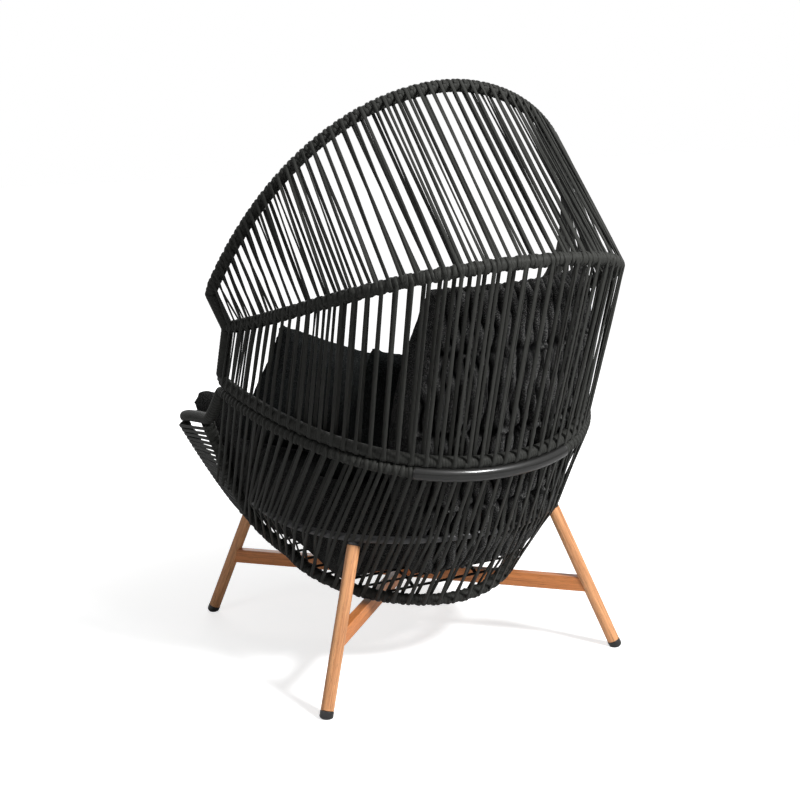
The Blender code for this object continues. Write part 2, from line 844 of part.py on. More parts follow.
# Front cords: wound on the lip and on the leg ring's front bar
lip_path = np.vstack([rim_open.path[rim_middle + corner_station:], rim_open.path[1:rim_middle - corner_station + 1]])
lip_rail = Rail(lip_path)
for part in ("tangent", "side", "other"):
    rows = getattr(rim_open, part)
    setattr(lip_rail, part, np.vstack([rows[rim_middle + corner_station:], rows[1:rim_middle - corner_station + 1]]))
ring_middle = len(ring_half)
fore = ring_rear_steps + ring_side_steps - 1
bar_path = np.vstack([ring_open.path[ring_middle + fore:], ring_open.path[1:ring_middle - fore + 1]])
bar_rail = Rail(bar_path)
for part in ("tangent", "side", "other"):
    rows = getattr(ring_open, part)
    setattr(bar_rail, part, np.vstack([rows[ring_middle + fore:], rows[1:ring_middle - fore + 1]]))
lip_run = lengths(lip_path)
bar_run = lengths(bar_path)
bar_root = ring_radius + root_radius - tube_radius
straps = []
for s in marks(lip_run[-1] * (1 - front_reach_share), lip_run[-1] * front_reach_share, basket_pitch):
    d = bar_run[-1] * s / lip_run[-1]
    top_way = piece_way(lip_rail, lip_run, s)
    low_way = piece_way(bar_rail, bar_run, d)
    stops = outside(along(lip_path, s), along(bar_path, d), top_way, low_way, root_radius, bar_root)
    if clear_of_legs(stops):
        straps.append(strap(stops, [top_way, low_way]))
wound("front_cords", [lip_rail.sleeve(0, len(lip_path) - 1),
                      bar_rail.sleeve(0, len(bar_path) - 1, core=ring_radius)], straps)


# Floor cords: straight across the lower hoop, tied by two that run from back to front
hoop_y = low_rail.path[low_middle:, 1]
straps = []
floor_edges = []
count = round((floor_back_y - floor_front_y) / floor_pitch)
for k in range(count + 1):
    y = floor_back_y - (floor_back_y - floor_front_y) * k / count + shift[1]
    d = np.interp(-y, -hoop_y, low_run[low_middle:])
    right = along(low_rail.path, d)
    left = right * np.array([-1.0, 1.0, 1.0])
    way = piece_way(low_rail, low_run, d)
    other = way * np.array([-1.0, 1.0, 1.0])
    stops = [right, left]
    reach = wrap_radius + floor_clear
    straps.append(strap(stops, [way, other], (right, way, reach), (left, other, reach)))
    floor_edges.append(right[1:])
floor_edges = np.array(floor_edges)
ties = []
for x in (-floor_tie_x, floor_tie_x):
    line = np.column_stack([np.full(len(floor_edges), x), floor_edges])
    line[0] = line[0] + unit(line[0] - line[1]) * strap_width
    line[-1] = line[-1] + unit(line[-1] - line[-2]) * strap_width
    ties.append(strap(line, [np.array([1.0, 0.0, 0.0])] * len(line)))
wound("floor_cords", ties, straps)


def lathe(profile, origin, axis, sides):
    """Points and faces of a body turned about an axis; the profile starts and ends on it."""
    across = unit(np.cross(axis, [0.0, 1.0, 0.0]))
    other = np.cross(axis, across)
    angles = np.arange(sides) * 2.0 * math.pi / sides
    points = [origin + axis * profile[0][1]]
    for radius, rise in profile[1:-1]:
        for angle in angles:
            points.append(origin + axis * rise + radius * (across * math.cos(angle) + other * math.sin(angle)))
    points.append(origin + axis * profile[-1][1])
    rows = len(profile) - 2
    faces = []
    for k in range(sides):
        step = (k + 1) % sides
        faces.append([0, 1 + k, 1 + step])
        for row in range(rows - 1):
            a = 1 + row * sides
            faces.append([a + k, a + step, a + sides + step, a + sides + k])
        end = 1 + (rows - 1) * sides
        faces.append([end + k, len(points) - 1, end + step])
    return np.array(points), faces


def disc(origin, axis, radius, sides):
    """Points round a disc's edge."""
    across = unit(np.cross(axis, [0.0, 1.0, 0.0]))
    other = np.cross(axis, across)
    return np.array([origin + radius * (across * math.cos(a) + other * math.sin(a))
                     for a in np.arange(sides) * 2.0 * math.pi / sides])


# Legs, each with a blind bore in its head for the socket's spigot
for name, (sx, sy) in corners.items():
    foot, head, up = leg_line(sx, sy)
    height = np.linalg.norm(head - foot)
    bore = spigot_radius + bore_gap
    put("leg_" + name, mesh_from("leg_" + name, lathe(
        [(0, cap_height + fit_gap), (leg_radius, cap_height + fit_gap), (leg_radius, height), (bore, height),
         (bore, height - spigot_length - bore_gap), (0, height - spigot_length - bore_gap)],
        foot, up, round_sides)), teak)

    # Socket: a black collar under the leg ring, its spigot in the leg
    reach = fit_gap
    while from_path(disc(head + up * (reach + socket_search), up, socket_radius, round_sides),
                    ring_open.path) > ring_radius + fit_gap:
        reach += socket_search
    put("socket_" + name, mesh_from("socket_" + name, lathe(
        [(0, -spigot_length), (spigot_radius, -spigot_length), (spigot_radius, fit_gap),
         (socket_radius, fit_gap), (socket_radius, reach), (0, reach)], head, up, round_sides)), metal_black)

    # Foot cap: domed, with a flat where it stands on the floor
    dome = [(0, -cap_edge)]
    for angle in np.linspace(0.0, math.pi / 2, dome_steps + 1)[1:]:
        dome.append((cap_radius * math.sin(angle), -cap_edge + cap_dome * (1 - math.cos(angle))))
    dome += [(cap_radius, cap_height), (0, cap_height)]
    cap_mesh = mesh_from("foot_cap_" + name, lathe(dome, foot, up, round_sides))
    work = bmesh.new()
    work.from_mesh(cap_mesh)
    cut = bmesh.ops.bisect_plane(work, geom=work.verts[:] + work.edges[:] + work.faces[:],
                                 plane_co=(0, 0, 0), plane_no=(0, 0, 1), clear_inner=True)
    edges = [e for e in cut["geom_cut"] if isinstance(e, bmesh.types.BMEdge)]
    bmesh.ops.edgeloop_fill(work, edges=edges)
    bmesh.ops.recalc_face_normals(work, faces=work.faces)
    work.to_mesh(cap_mesh)
    work.free()
    put("foot_cap_" + name, cap_mesh, foot_black)


def box(centre, half_x, half_y, half_z, turn):
    """Points and faces of a box turned about the vertical."""
    c = math.cos(turn)
    s = math.sin(turn)
    points = []
    for x in (-half_x, half_x):
        for y in (-half_y, half_y):
            for z in (-half_z, half_z):
                points.append(np.array(centre) + [x * c - y * s, x * s + y * c, z])
    faces = [[0, 1, 3, 2], [4, 6, 7, 5], [0, 4, 5, 1], [2, 3, 7, 6], [0, 2, 6, 4], [1, 5, 7, 3]]
    return np.array(points), faces


# Stretcher bars on the diagonals, coped to the legs and half-lapped where they cross
middle = np.array([0.0, leg_centre_y, bar_z]) + shift
share = bar_z / leg_head_z
bar_x = leg_foot_x + (leg_head_x - leg_foot_x) * share
bar_y = leg_foot_y + (leg_head_y - leg_foot_y) * share
bar_half = math.hypot(bar_x, bar_y)
turns = {"stretcher_left_front": (math.atan2(bar_y, bar_x), 1, ("front_left", "rear_right")),
         "stretcher_right_front": (math.atan2(-bar_y, bar_x), -1, ("front_right", "rear_left"))}
for name, (turn, notch_side, ends) in turns.items():
    body = put(name, mesh_from(name, box(middle, bar_half, bar_width / 2, bar_height / 2, turn)), teak_dark)
    tools = []
    for end in ends:
        foot, head, up = leg_line(*corners[end])
        tools.append(lathe([(0, -cut_overrun), (leg_radius + fit_gap, -cut_overrun),
                            (leg_radius + fit_gap, cut_overrun + np.linalg.norm(head - foot)),
                            (0, cut_overrun + np.linalg.norm(head - foot))], foot, up, round_sides))
    legs_tool = cutter(name + "_copes", mesh_from(name + "_copes", *tools), teak)
    boolean(body, legs_tool, "DIFFERENCE")
    other_turn = -turn
    notch = box(middle + np.array([0, 0, notch_side * (cut_overrun - fit_gap / 2)]), notch_half,
                bar_width / 2 + fit_gap, cut_overrun, other_turn)
    notch_tool = cutter(name + "_notch", mesh_from(name + "_notch", notch), teak)
    boolean(body, notch_tool, "DIFFERENCE")
    bolt_hole = lathe([(0, -cut_overrun), (bolt_radius + fit_gap, -cut_overrun),
                       (bolt_radius + fit_gap, cut_overrun), (0, cut_overrun)],
                      middle, np.array([0.0, 0.0, 1.0]), round_sides)
    hole_tool = cutter(name + "_hole", mesh_from(name + "_hole", bolt_hole), teak)
    boolean(body, hole_tool, "DIFFERENCE")
    settle(body)
    body.data.materials.clear()
    body.data.materials.append(teak_dark)
    body.data.polygons.foreach_set("material_index", [0] * len(body.data.polygons))
    for tool in (legs_tool, notch_tool, hole_tool):
        bpy.data.objects.remove(tool, do_unlink=True)

# Centre bolt, its head under the cross
head_top = -bar_height / 2 - fit_gap
put("cross_bolt", mesh_from("cross_bolt", lathe(
    [(0, head_top - bolt_head_height), (bolt_head_radius, head_top - bolt_head_height),
     (bolt_head_radius, head_top), (bolt_radius, head_top), (bolt_radius, bar_height / 2), (0, bar_height / 2)],
    middle, np.array([0.0, 0.0, 1.0]), round_sides)), metal_black)


def cushion(columns, rows, place):
    """Points and faces of a soft body; place gives a middle point and half thickness for u, v."""
    top = []
    under = []
    for j in range(rows + 1):
        for i in range(columns + 1):
            u = 2.0 * i / columns - 1.0
            v = 2.0 * j / rows - 1.0
            middle_point, half = place(u, v)
            top.append(middle_point + half)
            under.append(middle_point - half)
    wide = columns + 1
    count = len(top)
    index = {}
    points = list(top)
    for j in range(rows + 1):
        for i in range(wide):
            k = j * wide + i
            if 0 < i < columns and 0 < j < rows:
                index[k] = len(points)
                points.append(under[k])
            else:
                index[k] = k
    faces = []
    for j in range(rows):
        for i in range(columns):
            k = j * wide + i
            loop = [k, k + 1, k + wide + 1, k + wide]
            faces.append(loop)
            faces.append([index[m] for m in reversed(loop)])
    return np.array(points), faces


def fullness(u, v, power):
    """Thickness of a stuffed cover, from one in the middle to zero at its seam."""
    return (max(0.0, 1 - abs(u) ** power) * max(0.0, 1 - abs(v) ** power)) ** 0.5


# Seat cushion: fills the basket, its underside following the floor cords
def seat_place(u, v):
    """Middle and half thickness of the seat cushion."""
    y = seat_back_y + (seat_front_y - seat_back_y) * (v + 1) / 2
    share = (v + 1) / 2
    half_x = seat_half_back + (seat_half_front - seat_half_back) * share
    x = u * half_x * (1 - seat_squash_share * (abs(v) ** edge_power) / 2)
    y = y + (seat_back_y - seat_front_y) / 2 * v * seat_squash_share * abs(u) ** edge_power / 2
    base = np.interp(-(y + shift[1]), -hoop_y, low_rail.path[low_middle:, 2]) + seat_lift
    rise = share ** seat_rise_power
    high = seat_top_z + (seat_front_top_z - seat_top_z) * rise
    edge = seat_edge_back_z + (seat_edge_front_z - seat_edge_back_z) * rise
    mid = (base + high) / 2
    mid = mid + (edge - mid) * abs(u) ** edge_power
    half = (high - base) / 2 * fullness(u, v, edge_power)
    return np.array([x, y, mid]) + shift, np.array([0.0, 0.0, half])


put("seat_cushion", mesh_from("seat_cushion", cushion(seat_columns, seat_rows, seat_place)), fabric_dark)


# Back cushion: bowed to the basket, leaning to the chair's left, buttoned in rows
def through(low, mid, high, share):
    """A smooth curve through three values."""
    return low * (1 - share) * (1 - 2 * share) + mid * 4 * share * (1 - share) + high * share * (2 * share - 1)


def back_place(u, v):
    """Middle and half thickness of the back cushion."""
    share = (v + 1) / 2
    z = back_low_z + (back_high_z - back_low_z) * share
    x = back_low_x + (back_high_x - back_low_x) * share
    x = x + u * through(back_half_low, back_half_mid, back_half_high, share)
    y = through(back_low_y, back_mid_y, back_high_y, share) - back_bow * (x / back_bow_reach) ** 2
    pull = math.cos(math.pi * tuft_rows * (v + 1)) * math.cos(math.pi * tuft_columns * (u + 1) / 2) ** 2
    half = (back_depth - back_tuft_depth * (1 - pull) / 2) * fullness(u, v, edge_power)
    return np.array([x, y, z]) + shift, np.array([0.0, half, 0.0])


put("back_cushion", mesh_from("back_cushion", cushion(back_columns, back_rows, back_place)), fabric_dark)


def pillow(name, half, centre, rest_z, turn, lean, roll):
    """A square scatter pillow with drawn-in sides."""
    frame = (Matrix.Rotation(turn, 3, "Z") @ Matrix.Rotation(lean, 3, "X") @ Matrix.Rotation(roll, 3, "Y"))

    def place(u, v):
        waist = pillow_waist_share
        x = u * half * (1 - waist * (1 - v * v))
        z = v * half * (1 - waist * (1 - u * u))
        deep = pillow_depth * (max(0.0, 1 - u * u) * max(0.0, 1 - v * v)) ** pillow_power
        middle_point = np.array(frame @ Vector((x, 0.0, z))) + np.array(centre) + shift
        rise = (middle_point[2] - rest_z) / pillow_squash
        middle_point[2] = rest_z + pillow_squash * np.logaddexp(0.0, rise)
        room = (pillow_side_x - middle_point[0]) / pillow_squash
        middle_point[0] = pillow_side_x - pillow_squash * np.logaddexp(0.0, room)
        return middle_point, np.array(frame @ Vector((0.0, deep, 0.0)))

    return put(name, mesh_from(name, cushion(pillow_steps, pillow_steps, place)), fabric_plain)


pillow("side_pillow", side_pillow_half, (side_pillow_x, side_pillow_y, side_pillow_z), side_pillow_rest_z,
       side_pillow_turn, side_pillow_lean, side_pillow_roll)
pillow("middle_pillow", mid_pillow_half, (mid_pillow_x, mid_pillow_y, mid_pillow_z), mid_pillow_rest_z,
       mid_pillow_turn, mid_pillow_lean, mid_pillow_roll)
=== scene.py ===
"""Hooded outdoor armchair: finished surfaces over the chair's solid model.

Metres, the front faces -Y and the floor is z = 0. Each section below makes one piece or one
group of like pieces, from the bent tubes outwards to the cushions, and then the studio.
"""
import math

import bmesh
import bpy
import numpy as np
from mathutils import Matrix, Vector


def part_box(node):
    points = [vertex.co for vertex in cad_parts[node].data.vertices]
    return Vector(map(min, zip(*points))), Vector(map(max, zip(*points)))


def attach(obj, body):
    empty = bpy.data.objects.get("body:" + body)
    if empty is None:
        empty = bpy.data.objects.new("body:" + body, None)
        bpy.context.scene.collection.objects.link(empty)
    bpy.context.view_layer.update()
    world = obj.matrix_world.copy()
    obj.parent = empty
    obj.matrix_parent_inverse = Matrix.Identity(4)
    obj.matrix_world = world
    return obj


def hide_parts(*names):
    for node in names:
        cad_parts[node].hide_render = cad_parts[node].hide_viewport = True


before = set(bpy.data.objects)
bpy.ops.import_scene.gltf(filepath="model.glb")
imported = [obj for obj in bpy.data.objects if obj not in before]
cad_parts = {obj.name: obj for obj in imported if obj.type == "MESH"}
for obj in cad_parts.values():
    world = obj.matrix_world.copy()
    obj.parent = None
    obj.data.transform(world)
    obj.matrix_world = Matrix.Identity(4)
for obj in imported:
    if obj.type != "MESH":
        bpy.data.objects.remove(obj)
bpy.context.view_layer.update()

# Bent frame tubes: 20 mm aluminium tube, bent, welded and powder-coated black. They carry every
# cord; little of them shows, at the joints and through the gaps of the winding.
TUBE = 0.0098
RING_TUBE = 0.0079
TUBE_ROW = 0.006
TUBE_SHORT = 12
FRONT_BEND = 0.022
RIM_BEND = 0.045
SHIFT_Y = -0.0699
HALF_SEAM = 0.0129
STEP = 0.001
CURVE_STEPS = 90
UP = np.array([0.0, 0.0, 1.0])
BACK = np.array([0.0, 1.0, 0.0])
MIRROR = np.array([-1.0, 1.0, 1.0])


def shifted(*points):
    """Rows of points moved so that the chair's footprint is centred."""
    return np.array(points, float) + [0.0, SHIFT_Y, 0.0]


def cubic(*corners):
    """Points on a cubic curve: its four corners weighted by the Bernstein polynomials of t."""
    p0, p1, p2, p3 = shifted(*corners)
    t = np.linspace(0.0, 1.0, CURVE_STEPS + 1)[:, None]
    return (1 - t) ** 3 * p0 + 3 * (1 - t) ** 2 * t * p1 + 3 * (1 - t) * t ** 2 * p2 + t ** 3 * p3


def both_sides(half):
    """A half that starts on the centre plane, with its mirror image before it."""
    return np.vstack([(half * MIRROR)[:0:-1], half])


def run_of(path):
    """Running length along a row of points."""
    return np.concatenate([[0.0], np.cumsum(np.linalg.norm(np.diff(path, axis=0), axis=1))])


def point_at(path, distance):
    """The points at given running lengths, by straight interpolation on each axis."""
    run = run_of(path)
    return np.stack([np.interp(distance, run, path[:, k]) for k in range(3)], axis=-1)


def even(path, step):
    """The same path cut into equal steps."""
    total = run_of(path)[-1]
    return point_at(path, np.linspace(0.0, total, max(2, round(total / step)) + 1))


def softened(path, step, width):
    """The path with its corners rounded by a running mean over the given length; its ends stay."""
    rows = even(path, step)
    window = np.hanning(max(3, int(width / step) | 1) + 2)[1:-1]
    reach = len(window) // 2
    before = 2 * rows[0] - rows[reach:0:-1]
    after = 2 * rows[-1] - rows[-2:-reach - 2:-1]
    padded = np.vstack([before, rows, after])
    share = window / window.sum()
    return np.stack([np.convolve(padded[:, k], share, "valid") for k in range(3)], axis=-1)


def unit(v):
    """Vectors at length one."""
    return v / np.linalg.norm(v, axis=-1, keepdims=True)


def dots(a, b):
    """The dot product of each vector in a with its partner in b."""
    return np.einsum("...k,...k->...", a, b)


def directions(path, level):
    """Side and rise at each point: the side is square to the path and to a level direction."""
    tangent = unit(np.gradient(path, axis=0))
    side = unit(np.cross(tangent, level))
    return side, np.cross(side, tangent)


def full_circle(count):
    """Evenly spaced angles, once round."""
    return np.arange(count) * 2 * math.pi / count


def spokes(side, rise, angle):
    """Vectors of length one round each point: side times cos angle + rise times sin angle."""
    cos, sin = np.cos(angle)[:, None], np.sin(angle)[:, None]
    return side[..., None, :] * cos + rise[..., None, :] * sin


def signed_volume(points, quads):
    """Six times the volume that the quads enclose, from the triple products of their corners."""
    a, b, c, d = points[quads].transpose(1, 0, 2)
    return dots(a, np.cross(b, c)).sum() + dots(a, np.cross(c, d)).sum()


def placed(name, data):
    """A new object in the scene, around a mesh, a lamp or a camera."""
    made = bpy.data.objects.new(name, data)
    bpy.context.scene.collection.objects.link(made)
    return made


def smooth(mesh):
    """Every face shaded smooth."""
    mesh.polygons.foreach_set("use_smooth", np.ones(len(mesh.polygons), bool))
    mesh.update()


def store_lay(mesh, lay):
    """Where each point lies along and across the cord or the grain, stored as lay."""
    mesh.attributes.new("lay", "FLOAT_VECTOR", "POINT").data.foreach_set("vector", lay.reshape(-1))


def piece_from(name, points, quads, others=(), lay=None):
    """A mesh object of closed bodies, faces outwards, with the cord's lay where it is given."""
    faces = quads.tolist() + [list(map(int, face)) for face in others]
    if signed_volume(points, quads) < 0:
        faces = [face[::-1] for face in faces]
    mesh = bpy.data.meshes.new(name)
    mesh.from_pydata(points.tolist(), [], faces)
    if lay is not None:
        store_lay(mesh, lay)
    smooth(mesh)
    return placed(name, mesh)


def strip_quads(rows, columns):
    """Quads of a tube of rows by columns points, joined round its columns."""
    r, c = np.meshgrid(np.arange(rows - 1), np.arange(columns), indexing="ij")
    after = (c + 1) % columns
    corners = [r * columns + c, r * columns + after, (r + 1) * columns + after, (r + 1) * columns + c]
    return np.stack(corners, axis=-1).reshape(-1, 4)


def tubes(name, grids, lay=None):
    """One object of many capped tubes; grids is tube by row by corner by axis."""
    count, rows, columns = grids.shape[:3]
    first = np.arange(count)[:, None] * rows * columns
    quads = (strip_quads(rows, columns)[None] + first[..., None]).reshape(-1, 4)
    start = first + np.arange(columns)[::-1]
    finish = first + (rows - 1) * columns + np.arange(columns)
    return piece_from(name, grids.reshape(-1, 3), quads, np.vstack([start, finish]), lay)


def round_tube(name, path, radius, level, sides=20):
    """A plain round tube: a circle carried along the path."""
    side, rise = directions(path, level)
    return tubes(name, (path[:, None] + radius * spokes(side, rise, full_circle(sides)))[None])


class Wire:
    """A shader socket whose arithmetic adds Math nodes."""

    def __init__(self, look, socket):
        self.look = look
        self.socket = socket

    def maths(self, operation, first, second=0.0):
        return self.look.node("ShaderNodeMath", {"operation": operation}, {0: first, 1: second})

    def __add__(self, other):
        return self.maths("ADD", self, other)

    def __radd__(self, other):
        return self.maths("ADD", other, self)

    def __sub__(self, other):
        return self.maths("SUBTRACT", self, other)

    def __rsub__(self, other):
        return self.maths("SUBTRACT", other, self)

    def __mul__(self, other):
        return self.maths("MULTIPLY", self, other)

    def __rmul__(self, other):
        return self.maths("MULTIPLY", other, self)

    def sine(self):
        return self.maths("SINE", self)

    def size(self):
        return self.maths("ABSOLUTE", self)

    def above(self, edge):
        return self.maths("GREATER_THAN", self, edge)


class Look:
    """One finish, or the studio's surround: a shader and the nodes that feed it."""

    def __init__(self, name, home=bpy.data.materials, shader="Principled BSDF", **fixed):
        self.made = home.new(name)
        self.made.use_nodes = True
        self.tree = self.made.node_tree
        self.shader = self.tree.nodes[shader]
        for socket, value in fixed.items():
            self.set(socket.replace("_", " "), value)

    def node(self, kind, settings, sockets, out=0):
        """A node with its settings and sockets given; the result is its output as a Wire."""
        made = self.tree.nodes.new(kind)
        for key, value in settings.items():
            if key == "stops":
                for stop, (place, shade) in zip(made.color_ramp.elements, value):
                    stop.position = place
                    stop.color = (*shade, 1.0)
            else:
                setattr(made, key, value)
        for key, value in sockets.items():
            self.feed(made.inputs[key], value)
        return Wire(self, made.outputs[out])

    def feed(self, socket, value):
        """A link or a value for a socket; a colour gets its alpha here."""
        if isinstance(value, Wire):
            self.tree.links.new(value.socket, socket)
        elif socket.type == "RGBA":
            socket.default_value = (*value, 1.0)
        else:
            socket.default_value = value

    def set(self, socket, value):
        """A link or a value for one of the shader's own sockets."""
        self.feed(self.shader.inputs[socket], value)

    def place(self):
        """Object coordinates."""
        return self.node("ShaderNodeTexCoord", {}, {}, "Object")

    def stored(self, attribute, out="Vector"):
        """What the mesh's points carry under a name."""
        return self.node("ShaderNodeAttribute", {"attribute_name": attribute}, {}, out)

    def drawn(self, vector, scale):
        """A place stretched or packed on each axis."""
        return self.node("ShaderNodeVectorMath", {"operation": "MULTIPLY"}, {0: vector, 1: scale})

    def noise(self, vector, scale, detail=4.0, roughness=0.55):
        """Cloudy noise from nought to one."""
        cloud = {"Vector": vector, "Scale": scale, "Detail": detail, "Roughness": roughness}
        return self.node("ShaderNodeTexNoise", {}, cloud)

    def blend(self, share, first, second):
        """A mix of two colours."""
        return self.node("ShaderNodeMix", {"data_type": "RGBA"}, {0: share, 6: first, 7: second}, 2)

    def relief(self, height, depth, strength):
        """A bump from a height."""
        bump = {"Height": height, "Distance": depth, "Strength": strength}
        self.set("Normal", self.node("ShaderNodeBump", {}, bump))

    def mottled(self, scale, detail, dark, pale, strength):
        """Fine grain between two colours, 0.1 mm deep; the grain is given back."""
        grain = self.noise(self.place(), scale, detail)
        self.set("Base Color", self.blend(grain, dark, pale))
        self.relief(grain, 0.0001, strength)
        return grain

    def on(self, piece):
        """The finish put on a piece."""
        piece.data.materials.append(self.made)


def dress(piece, slot, *nodes):
    """The piece rides on the chair's one body and stands for the nodes, which are hidden; the slot is not
    used.
    """
    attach(piece, "root")
    if nodes:
        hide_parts(*nodes)


coat = Look("black powder coat", Roughness=0.42)
coat.mottled(900.0, 2.0, (0.010, 0.010, 0.011), (0.022, 0.022, 0.023), 0.5)

CHEEK = (.396, -.027, .769)
arch_half = cubic((0, .2935, 1.26), (.1175, .2935, 1.26), (.3606, .263, 1.1988), (.4411, .0089, .8538))
rail_half = cubic((0, .5958, .931), (.3243, .5958, .931), (.3629, .3235, .8355), CHEEK)
seam_half = cubic((0, .4595, .5105), (.2617, .4595, .5105), (.4051, .255, .5956),
                  (.3971, -.0891, .6322))
seam_way = unit(np.gradient(seam_half, axis=0))
seam_rise = unit(UP - seam_way * seam_way[:, 2:3])
upper_half = seam_half + seam_rise * HALF_SEAM
lower_half = seam_half - seam_rise * HALF_SEAM
rim_front = shifted((.4, -.112, .594), (.403, -.151, .556), (.403, -.179, .5385), (.402, -.249, .5305),
                    (.402, -.333, .519), (.396, -.388, .506), (.372, -.428, .496), (.3, -.443, .492),
                    (.15, -.453, .489), (0, -.456, .488))
hoop_half = np.vstack([
    cubic((0, .2576, .1656), (.1309, .2576, .1656), (.2734, .129, .195), (.2734, -.0283, .2313)),
    cubic((.2734, -.0283, .2313), (.2734, -.06, .2387), (.2788, -.2525, .2076), (.384, -.402, .465))[1:],
    shifted((.393, -.4150, .4870))])
ring_half = np.vstack([
    cubic((0, .38, .346), (.1926, .38, .346), (.335, .2268, .346), (.335, 0, .346)),
    cubic((.335, 0, .346), (.335, -.19, .346), (.31, -.285, .346), (.18, -.285, .346))[1:],
    shifted((0, -.285, .346))])

arch_path = even(both_sides(arch_half), STEP)
cheek = shifted(CHEEK)
front_half = np.vstack([arch_half, cheek, upper_half[-1:]])
front_path = softened(both_sides(front_half), STEP, FRONT_BEND)
rail_path = even(both_sides(rail_half), STEP)
upper_path = even(both_sides(upper_half), STEP)
rim_path = softened(both_sides(np.vstack([lower_half, rim_front])), STEP, RIM_BEND)
hoop_path = even(both_sides(hoop_half), STEP)
ring_path = even(both_sides(ring_half), STEP)
for node, path, level, radius in (
        ("front_hoop_tube", front_path, BACK, TUBE),
        ("back_rail_tube", rail_path[TUBE_SHORT:-TUBE_SHORT], UP, TUBE),
        ("upper_seam_tube", upper_path[TUBE_SHORT:-TUBE_SHORT], UP, TUBE),
        ("lower_rim_tube", rim_path, UP, TUBE),
        ("lower_hoop_tube", hoop_path, UP, TUBE),
        ("leg_ring_tube", ring_path, UP, RING_TUBE)):
    tube = round_tube("bent_" + node, even(path, TUBE_ROW), radius, level)
    coat.on(tube)
    dress(tube, "frame_tube", node)

# Winding: flat charcoal cord turned tightly round the tubes, each turn beside the last. It is
# glued at its ends and gives the strands their grip.
CREST = 0.0121
STOUT_CREST = 0.0136
POST_CREST = 0.0133
GROOVE = 0.0012
SHALLOW_GROOVE = 0.0006
GROOVE_SHARE = 0.09
TURN_CROWN = 0.0003
TURN_ROWS = 8
WOUND_SIDES = 20
END_RADIUS = TUBE * 1.02
TURN_SHADE = 0.37
WOUND_SHORT = 14
COMMON_TURN = 0.009
POST_FOOT = 0.012
DROP_POINTS = 7
SIDES = (("left", -1.0), ("right", 1.0))
cord = Look("charcoal flat cord", Specular_IOR_Level=0.06)
lay = cord.stored("lay")
along_cord = cord.noise(cord.drawn(lay, (60.0, 14.0, 3.0)), 1.0, 5.0, 0.6)
width_of_cord = cord.node("ShaderNodeSeparateXYZ", {}, {0: lay}, 1)
ribs = (width_of_cord * 31.4).sine() * 0.5 + 0.5
cord.set("Base Color", cord.blend(along_cord, (0.0050, 0.0052, 0.0048), (0.054, 0.055, 0.051)))
cord.set("Roughness", along_cord * 0.20 + 0.34)
cord.relief(ribs * 0.6 + along_cord, 0.0003, 0.6)


def wound(name, path, level, turn, nodes=(), crest=CREST, depth=GROOVE):
    """Winding: radius = crest less a narrow dip where length / turn + angle / full circle is whole."""
    rows = even(path, turn / TURN_ROWS)
    side, rise = directions(rows, level)
    angle = full_circle(WOUND_SIDES)
    wraps = run_of(rows)[:, None] / turn + angle / (2 * math.pi)
    phase = wraps % 1.0
    dip = np.exp(-(np.minimum(phase, 1 - phase) / GROOVE_SHARE) ** 2)
    crown = 1 - (2 * phase - 1) ** 2
    radius = crest - depth * dip + TURN_CROWN * crown
    spoke = spokes(side, rise, angle)
    grid = rows[:, None] + radius[..., None] * spoke
    grid[[0, -1]] = rows[[0, -1], None] + END_RADIUS * spoke[[0, -1]]
    round_it = np.broadcast_to(angle * crest, phase.shape)
    store = np.stack([round_it, phase, np.floor(wraps) * TURN_SHADE], axis=-1)
    made = tubes(name, grid[None], store[None])
    cord.on(made)
    dress(made, "cord", *nodes)


def part_of(path, start, end):
    """The stretch of a path between two running lengths."""
    return point_at(path, np.linspace(start, end, max(2, round((end - start) / STEP)) + 1))


front_total = run_of(front_path)[-1]
post_run = np.linalg.norm(upper_half[-1] - cheek)
brow_run = post_run + np.linalg.norm(arch_half[-1] - cheek)
wound("arch_winding", part_of(front_path, brow_run, front_total - brow_run), BACK, 0.0080)
for kind, start, end, turn, crest, depth in (
        ("post", POST_FOOT, post_run - 0.001, 0.0088, POST_CREST, SHALLOW_GROOVE),
        ("brow", post_run + 0.001, brow_run - 0.0005, 0.0060, STOUT_CREST, GROOVE)):
    for side, ends in (("left", (start, end)), ("right", (front_total - end, front_total - start))):
        wound(kind + "_winding_" + side, part_of(front_path, *ends), BACK, turn,
              [kind + "_wrap_" + side], crest, depth)
wound("rail_winding", rail_path[WOUND_SHORT:-WOUND_SHORT], UP, 0.0100)
wound("seam_winding", upper_path[WOUND_SHORT:-WOUND_SHORT], UP, 0.0060, depth=0.0008)
rim_total = run_of(rim_path)[-1]
rim_mid = rim_total / 2
seam_run = run_of(lower_half)[-1]
wound("rim_winding", part_of(rim_path, rim_mid - seam_run, rim_mid + seam_run), UP, COMMON_TURN)
drop_run = run_of(np.vstack([lower_half[-1:], rim_front[:DROP_POINTS]]))[-1]
butt = 0.0004
for side, way in SIDES:
    ends = sorted((rim_mid + way * (seam_run + butt), rim_mid + way * (seam_run + drop_run)))
    wound("arm_winding_" + side, part_of(rim_path, *ends), UP, 0.0096, ["arm_wrap_" + side],
          STOUT_CREST, SHALLOW_GROOVE)
lip_left = part_of(rim_path, 0.0, rim_mid - seam_run - drop_run - butt)
lip_right = part_of(rim_path, rim_mid + seam_run + drop_run + butt, rim_total)
lip_path = np.vstack([lip_right[:-1], lip_left])
wound("lip_winding", lip_path, UP, COMMON_TURN)
hoop_total = run_of(hoop_path)[-1]
wound("hoop_winding", part_of(hoop_path, 0.001, hoop_total - 0.001), UP, COMMON_TURN)

